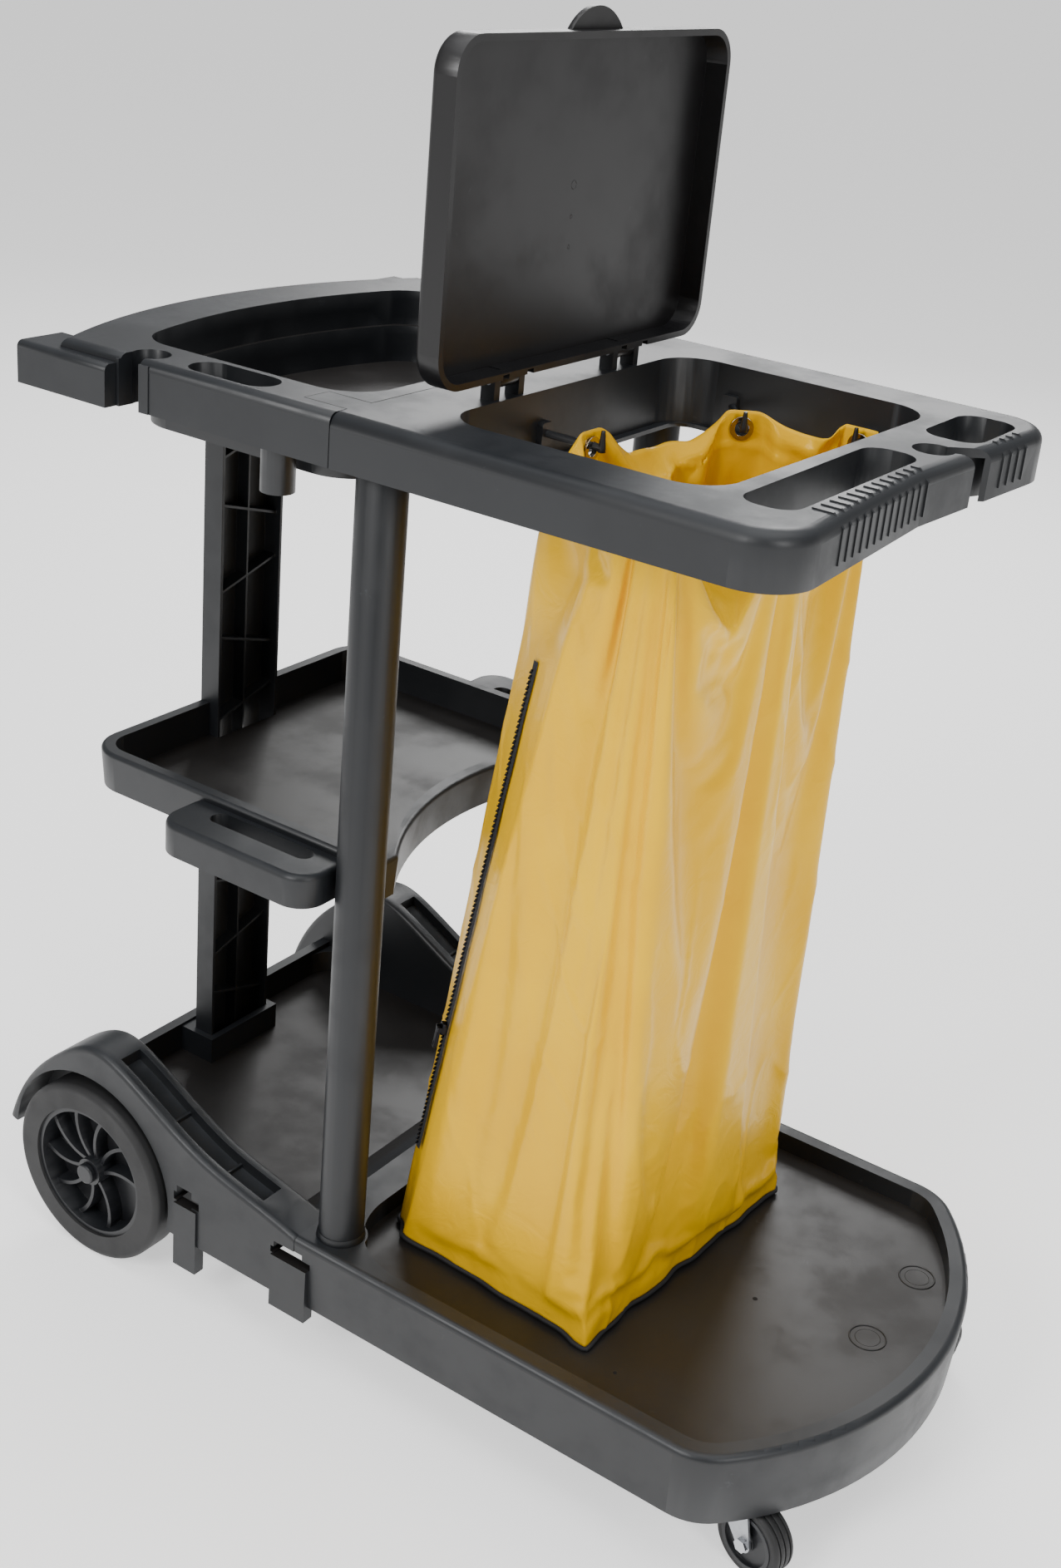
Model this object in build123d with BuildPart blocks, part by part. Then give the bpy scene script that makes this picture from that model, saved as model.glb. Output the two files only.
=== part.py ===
"""Housekeeping cart: moulded base, middle shelf, top tray and bag frame, hung bag, lid and wheels.

Millimetres, +Z up.  The origin is on the floor under the middle of the base, +X points to the
handles and -Y is the near side.
"""

import os
from math import cos, radians, sin, sqrt

from build123d import *

os.makedirs("parts", exist_ok=True)

# ---------------------------------------------------------------- driving sizes
cart_length = 960.0          # tail of the wheel arches to the nose of the base
base_width = 500.0
rim_height = 958.0           # floor to the top of the upper rim
wall = 4.0                   # general wall of the mouldings
fit = 0.3                    # clearance of a piece in its socket
running = 0.05               # radial clearance of a pin or shaft that turns

tail_x = -cart_length / 2
nose_x = cart_length / 2
half_width = base_width / 2

# base
rim_z = 152.0                # top edge of the base
skirt_z = 75.0               # lower edge of the base
skirt_draft = 3.0            # degrees
nose_radius = 340.0
nose_corner = 60.0
rim_band = 20.0              # width of the rim round the front deck
front_deck_z = 131.0
rear_deck_z = 125.0
deck_rear_x = -54.0          # rear edge of the front deck
deck_rear_corner = 80.0
base_rear_x = tail_x + 48.0
rear_wall_top_z = 158.0
rear_wall = 12.0
fender_width = 50.0

# rear wheels
axle_from_tail = 126.0
wheel_radius = 100.0
tyre_depth = 27.0
tyre_width = 40.0
axle_radius = 6.0
axle_x = tail_x + axle_from_tail
wheel_outer_y = half_width + 10.0
wheel_y = wheel_outer_y - tyre_width / 2
arch_gap = 6.0

# uprights
post_x = -53.5
post_y = 214.0
post_radius = 22.0
post_seat_z = 112.0
column_rear_x = -407.0
column_depth = 24.0
column_width = 90.0
column_wall = 3.5
column_seat_z = 129.0

# middle shelf
shelf_top_z = 553.0
shelf_depth = 40.0
shelf_half_width = 206.0
shelf_rear_x = -409.0
shelf_front_x = -42.0
shelf_front_sag = 55.0       # how far the front edge bows back between the posts

# top mouldings
skirt_depth = 45.0
seam_x = -82.0               # where the tray meets the bag frame
tray_rear_x = -440.0
tray_rear_bulge = 55.0
bin_rim = 62.0               # width of the rim behind the bin
bin_half_width = 195.0
bin_front_x = -100.0
bin_depth = 70.0
tool_hole_radius = 17.0
frame_front_x = 334.0
frame_front_dip = 16.0
opening_half_width = 188.0
opening_rear_x = -20.0
opening_front_near_x = 232.0
opening_front_far_x = 240.0
inner_skirt_z = 893.0

# lid
hinge_x = -30.0
hinge_gap = 0.5              # closed lid above the rim
lid_half_width = 202.0
lid_length = 268.0
lid_depth = 25.0
lid_below_axis = 15.0        # axis to the open face of the lid
lid_from_axis = 4.0          # axis to the lower edge of the lid
lid_wall = 3.5
hinge_y = 90.0
hinge_pin_radius = 3.0
hinge_z = rim_height + lid_below_axis + hinge_gap

# bag
bag_top_z = 935.0
bag_band_z = 900.0
bag_bottom_z = front_deck_z + 5.0
bag_cloth = 2.0
bag_top_rear_x = 30.0
bag_top_front_x = 214.0
bag_top_half_width = 172.0
bag_bottom_rear_x = -38.0
bag_bottom_front_x = 224.0
bag_bottom_half_width = 165.0
grommet_z = 918.0
grommet_bore = 6.5

# casters
caster_x = 376.0
caster_y = 174.0
caster_radius = 36.0
caster_trail = 30.0
caster_plate_z = 92.0
caster_plate = 50.0
caster_headings = {"near": -13.0, "far": 9.0}

rim_underside_z = rim_height - wall
top_plate_z = rim_height - 2 * wall
side_skirt_z = rim_height - skirt_depth
SIDES = (("near", -1), ("far", 1))


def save(builder, name):
    """Label a finished piece and write its STEP file."""
    builder.part.label = name
    export_step(builder.part, f"parts/{name}.step")


# ---------------------------------------------------------------- base platform
def base_outline(inset, rear_x, rear_corner):
    """Plan of the base: straight sides and one big arc for the nose."""
    half = half_width - inset
    radius = nose_radius - inset
    shoulder_x = nose_x - nose_radius + sqrt(radius**2 - half**2)
    with BuildSketch() as outline:
        with BuildLine():
            Polyline((shoulder_x, -half), (rear_x, -half), (rear_x, half), (shoulder_x, half))
            ThreePointArc((shoulder_x, half), (nose_x - inset, 0), (shoulder_x, -half))
        make_face()
        fillet(outline.vertices().group_by(Axis.X)[-1], nose_corner - inset)
        if rear_corner:
            fillet(outline.vertices().group_by(Axis.X)[0], rear_corner)
    return outline.sketch


fender_run = 272.0           # wheel axis to where the fender meets the rim
fender_round = 6.0
arch_radius = wheel_radius + arch_gap + 4.0
arch_x = axle_x - 4.0
well_depth = fender_width - 13.0

fender_profile = (
    (axle_x - 92, wheel_radius + 78),
    (axle_x - 50, wheel_radius + 120),
    (axle_x, wheel_radius + 146),
    (axle_x + 47, wheel_radius + 133),
    (axle_x + 154, wheel_radius + 81),
    (axle_x + 215, rim_z + 14),
)
tail_tip = (tail_x, wheel_radius + 11)
fender_end = (axle_x + fender_run, rim_z)
recess_start_x = axle_x + 28
recess_end_x = axle_x + 222
recess_margin = 12.0
recess_sink = 12.0
recess_rib = 2.0
recess_rib_height = 4.0
recess_rib_pitch = 70.0


def fender_face(sink, rear_x, front_x):
    """Side view of a fender, lowered by `sink` and trimmed between two stations."""
    with BuildSketch(Plane.XZ) as face:
        with BuildLine():
            top = Spline(tail_tip, *fender_profile, fender_end)
            Polyline(
                top @ 1,
                (fender_end[0], skirt_z),
                (axle_x + wheel_radius, skirt_z),
                (axle_x, wheel_radius),
                (tail_x + 9, wheel_radius + 8),
                top @ 0,
            )
        make_face()
    face_at = face.sketch.moved(Location((0, 0, -sink)))
    with BuildSketch(Plane.XZ) as window:
        with Locations(((rear_x + front_x) / 2, rim_height / 2)):
            Rectangle(front_x - rear_x, rim_height)
    return face_at & window.sketch


fender_side = fender_face(0, tail_x, fender_end[0])
recess_side = fender_face(0, recess_start_x, recess_end_x) - fender_face(
    recess_sink, recess_start_x, recess_end_x
)

with BuildPart() as fender:
    with BuildSketch(Plane.XZ.offset(half_width)):
        add(fender_side)
    extrude(amount=-fender_width)
    top_edges = fender.edges().filter_by(GeomType.BSPLINE)
    fillet(top_edges, fender_round)
    # open well for the wheel, and the hollow in front of it
    with BuildSketch(Plane.XZ.offset(half_width + 1)):
        with Locations((arch_x, wheel_radius)):
            Circle(arch_radius)
    extrude(amount=-well_depth, mode=Mode.SUBTRACT)
    # long recess along the top with two cross ribs
    with BuildSketch(Plane.XZ.offset(half_width - recess_margin)):
        add(recess_side)
    extrude(amount=-(fender_width - 2 * recess_margin), mode=Mode.SUBTRACT)
    for rib_x in (recess_start_x + recess_rib_pitch, recess_start_x + 2 * recess_rib_pitch):
        with BuildSketch(Plane.XZ.offset(half_width - recess_margin)):
            add(fender_face(recess_sink - recess_rib_height, rib_x, rib_x + recess_rib))
            add(fender_face(recess_sink + 1, rib_x, rib_x + recess_rib), mode=Mode.SUBTRACT)
        extrude(amount=-(fender_width - 2 * recess_margin))

hollow_start_x = axle_x + 118
base_underside = (
    (hollow_start_x, skirt_z - 1),
    (hollow_start_x, wheel_radius + 62),
    (axle_x + 164, wheel_radius + 46),
    (axle_x + 240, rear_deck_z),
    (axle_x + 240, skirt_z - 1),
)
ramp_start_x = deck_rear_x - 80
ramp_end_x = deck_rear_x - 36
inner_half = half_width - fender_width
socket_front_x = column_rear_x + column_depth + 8
socket_half = column_width / 2 + 8
# accessory pockets: rear end, front end, low and high edge, and the foot of the channel below
pockets = (
    (axle_x + 116, axle_x + 146, 118.0, 138.0, 42.0),
    (axle_x + 245, axle_x + 290, 121.0, 136.0, 60.0),
)
pocket_block = 12.5
pocket_depth = 20.0
socket_rise = 30.0
rib_depth = 30.0
rib_wall = 3.0
long_ribs = (-150, -50, 50, 150)
cross_ribs = (axle_x + 60, -190, -90, 40, 140, 240)
screw_spacing = caster_plate - 12

with BuildPart() as base_platform:
    with BuildSketch(Plane.XY.offset(rim_z)):
        add(base_outline(0, base_rear_x, 0))
    extrude(amount=-(rim_z - skirt_z), taper=skirt_draft)
    front_top = base_platform.edges().filter_by_position(Axis.Z, rim_z - 0.1, rim_z + 0.1)
    fillet(front_top.filter_by(lambda e: e.center().X > base_rear_x + 1), 7)
    add(fender.part)
    add(fender.part.mirror(Plane.XZ))
    for side_name, side in SIDES:
        # clear the platform out of the wheel wells
        with BuildSketch(Plane.XZ.offset(-side * (half_width + 1))):
            with Locations((arch_x, wheel_radius)):
                Circle(arch_radius)
        extrude(amount=side * well_depth, mode=Mode.SUBTRACT)
    # rear wall and the deck behind the posts
    with BuildSketch(Plane.XY.offset(rear_deck_z)):
        with Locations((base_rear_x + rear_wall / 2, 0)):
            Rectangle(rear_wall, 2 * inner_half)
    extrude(amount=rear_wall_top_z - rear_deck_z)
    with BuildSketch(Plane.XY.offset(rear_deck_z)) as rear_deck:
        with Locations(((base_rear_x + rear_wall + ramp_start_x) / 2, 0)):
            Rectangle(ramp_start_x - base_rear_x - rear_wall, 2 * inner_half)
        fillet(rear_deck.vertices().group_by(Axis.X)[0], 35)
    extrude(amount=rim_height / 4, mode=Mode.SUBTRACT)
    with BuildSketch(Plane.XZ.offset(-inner_half)):
        with BuildLine():
            Polyline(
                (ramp_start_x, rear_deck_z),
                (ramp_end_x, rim_z),
                (ramp_end_x, rim_z + 60),
                (ramp_start_x, rim_z + 60),
                close=True,
            )
        make_face()
    extrude(amount=2 * inner_half, mode=Mode.SUBTRACT)
    # front deck
    with BuildSketch(Plane.XY.offset(front_deck_z)):
        add(base_outline(rim_band, deck_rear_x, deck_rear_corner))
    extrude(amount=rim_z, mode=Mode.SUBTRACT)
    # underside: one hollow inside the skirt
    with BuildSketch(Plane.XY.offset(skirt_z - 1)):
        add(base_outline(wall + 4, base_rear_x + wall, 0))
        for side_name, side in SIDES:
            with Locations(((base_rear_x + hollow_start_x) / 2, side * half_width)):
                Rectangle(
                    hollow_start_x - base_rear_x, 2 * fender_width + 10, mode=Mode.SUBTRACT
                )
    extrude(amount=rear_deck_z - wall - skirt_z + 1, mode=Mode.SUBTRACT)
    for side_name, side in SIDES:
        inner_y = half_width - fender_width + wall
        with BuildSketch(Plane.XZ.offset(-side * (inner_y if side < 0 else half_width - wall))):
            with BuildLine():
                Polyline(*base_underside, close=True)
            make_face()
        extrude(amount=fender_width - 2 * wall, mode=Mode.SUBTRACT)
    # socket of the rear column
    with BuildSketch(Plane.XY.offset(rear_deck_z)):
        with Locations(((base_rear_x + 4 + socket_front_x) / 2, 0)):
            Rectangle(socket_front_x - base_rear_x - 4, 2 * socket_half)
    extrude(amount=socket_rise)
    with BuildSketch(Plane.XY.offset(column_seat_z)):
        with Locations((column_rear_x + column_depth / 2, 0)):
            Rectangle(column_depth + 2 * fit, column_width + 2 * fit)
    extrude(amount=rim_z, mode=Mode.SUBTRACT)
    # ribs, post sockets and caster pads under the decks
    with BuildSketch(Plane.XY.offset(rear_deck_z - wall - rib_depth)):
        for rib_y in long_ribs:
            with Locations(((base_rear_x + nose_x - 30) / 2, rib_y)):
                Rectangle(nose_x - base_rear_x - 60, rib_wall)
        for rib_x in cross_ribs:
            with Locations((rib_x, 0)):
                Rectangle(rib_wall, 2 * inner_half - 2 * wall)
    extrude(amount=rib_depth + 0.5)
    with BuildSketch(Plane.XY.offset(skirt_z)):
        with Locations((caster_x, -caster_y), (caster_x, caster_y)):
            Rectangle(caster_plate + 4, caster_plate + 4)
    extrude(amount=caster_plate_z + 3 - skirt_z, mode=Mode.SUBTRACT)
    with BuildSketch(Plane.XY.offset(post_seat_z - wall)):
        with Locations((post_x, -post_y), (post_x, post_y)):
            Circle(post_radius + wall)
    extrude(amount=rim_z - post_seat_z + wall - 1)
    with BuildSketch(Plane.XY.offset(caster_plate_z + 3)):
        with Locations((caster_x, -caster_y), (caster_x, caster_y)):
            Rectangle(caster_plate + 4, caster_plate + 4)
    extrude(amount=front_deck_z - caster_plate_z - 5)
    with BuildSketch(Plane.XY.offset(post_seat_z)):
        with Locations((post_x, -post_y), (post_x, post_y)):
            Circle(post_radius + fit)
    extrude(amount=rim_z, mode=Mode.SUBTRACT)
    # bore for the rear axle, in the well walls and a boss on each rib
    with BuildSketch(Plane.XZ.offset(-inner_half + 10)):
        with Locations((axle_x, wheel_radius)):
            Circle(axle_radius + 5)
    extrude(amount=2 * inner_half - 20)
    with BuildSketch(Plane.XZ.offset(-half_width)):
        with Locations((axle_x, wheel_radius)):
            Circle(axle_radius + running)
    extrude(amount=base_width, mode=Mode.SUBTRACT)
    # accessory pockets in the side skirts, each over a shallow channel
    for side_name, side in SIDES:
        for start_x, end_x, low_z, high_z, foot_z in pockets:
            block_y = half_width + (2.5 if side < 0 else -10)
            with BuildSketch(Plane.XZ.offset(-side * block_y)):
                with Locations(((start_x + end_x) / 2, (foot_z + low_z) / 2)):
                    Rectangle(end_x - start_x, low_z - foot_z)
            extrude(amount=-pocket_block)
            mouth_y = half_width + (3 if side < 0 else -17)
            with BuildSketch(Plane.XZ.offset(-side * mouth_y)):
                with Locations(((start_x + end_x) / 2 - 3, (high_z + low_z) / 2)):
                    Rectangle(end_x - start_x - 10, high_z - low_z)
                with Locations(((start_x + end_x) / 2, (high_z + low_z) / 2 - 3)):
                    Rectangle(end_x - start_x + 4, (high_z - low_z) / 2)
            extrude(amount=-pocket_depth, mode=Mode.SUBTRACT)
    # caster screw holes
    with BuildSketch(Plane.XY.offset(caster_plate_z)):
        for side_name, side in SIDES:
            with Locations((caster_x, side * caster_y)):
                with GridLocations(screw_spacing, screw_spacing, 2, 2):
                    Circle(2.1)
    extrude(amount=25, mode=Mode.SUBTRACT)
save(base_platform, "base_platform")

# ---------------------------------------------------------------- rear axle and wheels
axle_half = wheel_outer_y + 2.0
with BuildPart() as rear_axle:
    with BuildSketch(Plane.XZ.offset(-axle_half)):
        with Locations((axle_x, wheel_radius)):
            Circle(axle_radius)
    extrude(amount=2 * axle_half)
    chamfer(rear_axle.edges().filter_by(GeomType.CIRCLE), 1)
save(rear_axle, "rear_axle")

cap_radius = 11.0
cap_depth = 6.0
cap_start = wheel_outer_y - 2.4
with BuildPart() as rear_axle_caps:
    for side_name, side in SIDES:
        with BuildSketch(Plane.XZ.offset(-side * cap_start)):
            with Locations((axle_x, wheel_radius)):
                Circle(cap_radius)
        extrude(amount=-side * cap_depth)
    with BuildSketch(Plane.XZ.offset(-axle_half)):
        with Locations((axle_x, wheel_radius)):
            Circle(axle_radius)
    extrude(amount=2 * axle_half, mode=Mode.SUBTRACT)
    outer_rims = rear_axle_caps.edges().filter_by(GeomType.CIRCLE)
    fillet(outer_rims.group_by(Axis.Y)[0].sort_by(SortBy.RADIUS)[-1:], 2)
    fillet(outer_rims.group_by(Axis.Y)[-1].sort_by(SortBy.RADIUS)[-1:], 2)
save(rear_axle_caps, "rear_axle_caps")

rim_radius = wheel_radius - tyre_depth
hub_radius = 15.0
bush_wall = 3.0
rim_lip = 5.0
spoke_count = 9
spoke_half_depth = 9.0
spoke_turn = 360 / spoke_count
half_tyre = tyre_width / 2
for side_name, side in SIDES:
    hub_plane = Plane(
        origin=(axle_x, side * wheel_y, wheel_radius), x_dir=(1, 0, 0), z_dir=(0, -1, 0)
    )
    with BuildPart() as rim:
        with BuildSketch(hub_plane.offset(-half_tyre + 3)):
            Circle(rim_radius)
            Circle(rim_radius - rim_lip, mode=Mode.SUBTRACT)
        extrude(amount=tyre_width - 6)
        with BuildSketch(hub_plane.offset(-half_tyre + 3)):
            Circle(hub_radius)
        extrude(amount=tyre_width - 6)
        # curved spokes
        with BuildSketch(hub_plane.offset(-spoke_half_depth)):
            with BuildLine():
                ThreePointArc((hub_radius - 2, -2), (43, 7), (rim_radius - 3, -2))
                ThreePointArc((rim_radius - 3, -2), (rim_radius - 2.5, 1), (rim_radius - 3, 4))
                ThreePointArc((rim_radius - 3, 4), (43, 11), (hub_radius - 2, 3))
                Line((hub_radius - 2, 3), (hub_radius - 2, -2))
            spoke = make_face()
            with PolarLocations(0, spoke_count - 1, spoke_turn, 360 - 2 * spoke_turn):
                add(spoke.face())
        extrude(amount=2 * spoke_half_depth)
        # thin web between the spokes, set back from the outer face
        with BuildSketch(hub_plane.offset(side * spoke_half_depth - 1.5)):
            Circle(rim_radius - 2)
        extrude(amount=3)
        with BuildSketch(hub_plane.offset(-half_tyre)):
            Circle(axle_radius + bush_wall)
        extrude(amount=tyre_width, mode=Mode.SUBTRACT)
    save(rim, f"rear_wheel_rim_{side_name}")

    with BuildPart() as tyre:
        with BuildSketch(hub_plane.offset(-half_tyre)):
            Circle(wheel_radius)
        extrude(amount=tyre_width)
        fillet(tyre.edges().filter_by(GeomType.CIRCLE), 7)
        with BuildSketch(hub_plane.offset(-half_tyre)):
            Circle(rim_radius)
        extrude(amount=tyre_width, mode=Mode.SUBTRACT)
    save(tyre, f"rear_tyre_{side_name}")

    with BuildPart() as bush:
        with BuildSketch(hub_plane.offset(-half_tyre + 3)):
            Circle(axle_radius + bush_wall)
            Circle(axle_radius + running, mode=Mode.SUBTRACT)
        extrude(amount=tyre_width - 6)
    save(bush, f"rear_wheel_bush_{side_name}")

# ---------------------------------------------------------------- uprights
post_top_z = rim_underside_z
screw_radius = 2.0
screw_head = 2.5
post_wall = 2.5
screw_levels = (rim_z + 28, side_skirt_z - 26)
for side_name, side in SIDES:
    with BuildPart() as post:
        with BuildSketch(Plane.XY.offset(post_seat_z)):
            with Locations((post_x, side * post_y)):
                Circle(post_radius)
                Circle(post_radius - post_wall, mode=Mode.SUBTRACT)
        extrude(amount=post_top_z - post_seat_z)
        with BuildSketch(Plane.XY.offset(rim_z)):
            with Locations((post_x, side * post_y)):
                Circle(post_radius + 2)
                Circle(post_radius - 1, mode=Mode.SUBTRACT)
        extrude(amount=9, taper=12)
        for screw_height in screw_levels:
            screw_start = (post_x - post_radius - 1, side * post_y, screw_height)
            with BuildSketch(Plane(origin=screw_start, z_dir=(1, 0, 0))):
                Circle(screw_radius + 0.1)
            extrude(amount=post_radius, mode=Mode.SUBTRACT)
    save(post, f"post_{side_name}")

with BuildPart() as post_screws:
    for side_name, side in SIDES:
        for screw_height in screw_levels:
            head_start = (post_x - post_radius - screw_head, side * post_y, screw_height)
            head = Plane(origin=head_start, z_dir=(1, 0, 0))
            with BuildSketch(head):
                Circle(4.5)
            extrude(amount=screw_head)
            with BuildSketch(head):
                Circle(screw_radius)
            extrude(amount=10)
save(post_screws, "post_screws")

gusset_count = 10
gusset_pitch = 70.0
first_gusset = 62.0
gusset_rise = 26.0
gusset_wall = 3.0
with BuildPart() as rear_column:
    with BuildSketch(Plane.XY.offset(column_seat_z)):
        with Locations((column_rear_x + column_depth / 2, 0)):
            Rectangle(column_depth, column_width)
        with Locations((column_rear_x + (column_depth + column_wall) / 2, 0)):
            Rectangle(column_depth - column_wall, column_width - 2 * column_wall, mode=Mode.SUBTRACT)
    extrude(amount=top_plate_z - column_seat_z)
    # slanted gussets across the channel, in pairs
    for level in range(gusset_count):
        rib_height = column_seat_z + first_gusset + gusset_pitch * level
        rise = gusset_rise if level % 2 else -gusset_rise
        with BuildSketch(Plane.YZ.offset(column_rear_x)):
            with BuildLine():
                Polyline(
                    (-column_width / 2, rib_height - rise / 2),
                    (column_width / 2, rib_height + rise / 2),
                    (column_width / 2, rib_height + rise / 2 + gusset_wall),
                    (-column_width / 2, rib_height - rise / 2 + gusset_wall),
                    close=True,
                )
            make_face()
        extrude(amount=column_depth - 6)
    with BuildSketch(Plane.XY.offset(column_seat_z)):
        with Locations((column_rear_x + column_depth / 2 - 3, 0)):
            Rectangle(column_depth - 6, 2.5)
    extrude(amount=top_plate_z - column_seat_z)
save(rear_column, "rear_column")

# ---------------------------------------------------------------- middle shelf
shelf_low_z = shelf_top_z - shelf_depth
loop_rear_x = axle_x + 95
loop_front_x = post_x - post_radius - 2
loop_out = 56.0
loop_top_z = shelf_top_z - 8
loop_slot = 20.0
shelf_rim = 14.0
shelf_bar_mid_y = shelf_half_width - 10 + loop_out / 2


def shelf_outline(inset):
    """Plan of the shelf, its front edge bowed back between the posts."""
    half = shelf_half_width - inset
    front_x = shelf_front_x - inset
    bow_x = shelf_front_x - shelf_front_sag - inset
    with BuildSketch() as outline:
        with BuildLine():
            Polyline(
                (front_x, -half + 30),
                (front_x, -half),
                (shelf_rear_x + inset, -half),
                (shelf_rear_x + inset, half),
                (front_x, half),
                (front_x, half - 30),
            )
            ThreePointArc((front_x, half - 30), (bow_x, 0), (front_x, -half + 30))
        make_face()
        fillet(outline.vertices().group_by(Axis.X)[0], 40 - inset)
        corners = outline.vertices().filter_by(lambda v: abs(v.Y) > half - 1 and v.X > -200)
        fillet(corners, 12)
    return outline.sketch


with BuildPart() as middle_shelf:
    with BuildSketch(Plane.XY.offset(shelf_top_z)):
        add(shelf_outline(0))
    extrude(amount=-shelf_depth, taper=4)
    fillet(middle_shelf.edges().group_by(Axis.Z)[-1], 4)
    for side_name, side in SIDES:
        # loop handle: a long bar standing out from the side
        with BuildSketch(Plane.XY.offset(shelf_low_z)):
            with Locations(((loop_rear_x + loop_front_x) / 2, side * shelf_bar_mid_y)):
                RectangleRounded(loop_front_x - loop_rear_x, loop_out + 20, 26)
        extrude(amount=loop_top_z - shelf_low_z)
    loop_edges = middle_shelf.edges().filter_by_position(
        Axis.Z, loop_top_z - 0.1, loop_top_z + 0.1
    )
    fillet(loop_edges.filter_by(lambda e: abs(e.center().Y) > shelf_half_width + 20), 6)
    with BuildSketch(Plane.XY.offset(shelf_top_z - shelf_depth + wall)):
        add(shelf_outline(shelf_rim))
    extrude(amount=shelf_depth, mode=Mode.SUBTRACT)
    # finger slot of each loop
    for side_name, side in SIDES:
        with BuildSketch(Plane.XY.offset(shelf_low_z - 1)):
            with Locations(((loop_rear_x + loop_front_x) / 2 + 4, side * (shelf_half_width + 15))):
                SlotOverall(loop_front_x - loop_rear_x - 62, loop_slot)
        extrude(amount=shelf_depth + 2, mode=Mode.SUBTRACT)
    # openings for the posts and the column
    with BuildSketch(Plane.XY.offset(shelf_low_z - 1)):
        with Locations((post_x, -post_y), (post_x, post_y)):
            Circle(post_radius + fit)
        with Locations((column_rear_x + column_depth / 2, 0)):
            Rectangle(column_depth + 2 * fit, column_width + 2 * fit)
    extrude(amount=shelf_depth + 2, mode=Mode.SUBTRACT)
save(middle_shelf, "middle_shelf")

# ---------------------------------------------------------------- top tray
tray_half = half_width
tray_round = 9.0
frame_round = 12.0
lug_drop = 8.0
lug_half = half_width + 14
tool_hole_x = axle_x + 56
lug_rear_x = tray_rear_x + 16
lug_front_x = tool_hole_x - 19
tool_hole_y = 228.0
tool_slot = 29.0
cup_x = axle_x + 144
cup_y = 220.5
cup_length = 91.0
cup_width = 38.0
cup_depth = 36.0
peg_x = axle_x + 190
peg_y = 215.0
peg_radius = 15.0
peg_low_z = 868.0
tongue_rear_x = seam_x - 44
tongue_inner_y = 199.0
tongue_outer_y = 229.0
tongue_thick = 4.0
tongue_mid_y = (tongue_inner_y + tongue_outer_y) / 2
tongue_width = tongue_outer_y - tongue_inner_y
seam_gap = 0.8
bin_floor_z = rim_height - bin_depth
bin_step_z = rim_height - 34


def tray_outline(inset):
    """Plan of the tray: a shallow arc at the back, straight sides and a straight seam."""
    half = tray_half - inset
    corner_x = tray_rear_x + tray_rear_bulge + inset
    with BuildSketch() as outline:
        with BuildLine():
            ThreePointArc((corner_x, half), (tray_rear_x + inset, 0), (corner_x, -half))
            Polyline(
                (corner_x, -half),
                (seam_x - inset, -half),
                (seam_x - inset, half),
                (corner_x, half),
            )
        make_face()
    return outline.sketch


def bin_outline(grow, corner):
    """Plan of the tray's deep bin, following the arc of the back rim."""
    half = bin_half_width + grow
    corner_x = tray_rear_x + tray_rear_bulge * 0.62 + bin_rim - grow
    with BuildSketch() as outline:
        with BuildLine():
            ThreePointArc((corner_x, half), (tray_rear_x + bin_rim - grow, 0), (corner_x, -half))
            Polyline(
                (corner_x, -half),
                (bin_front_x + grow, -half),
                (bin_front_x + grow, half),
                (corner_x, half),
            )
        make_face()
        fillet(outline.vertices(), corner)
    return outline.sketch


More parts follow.
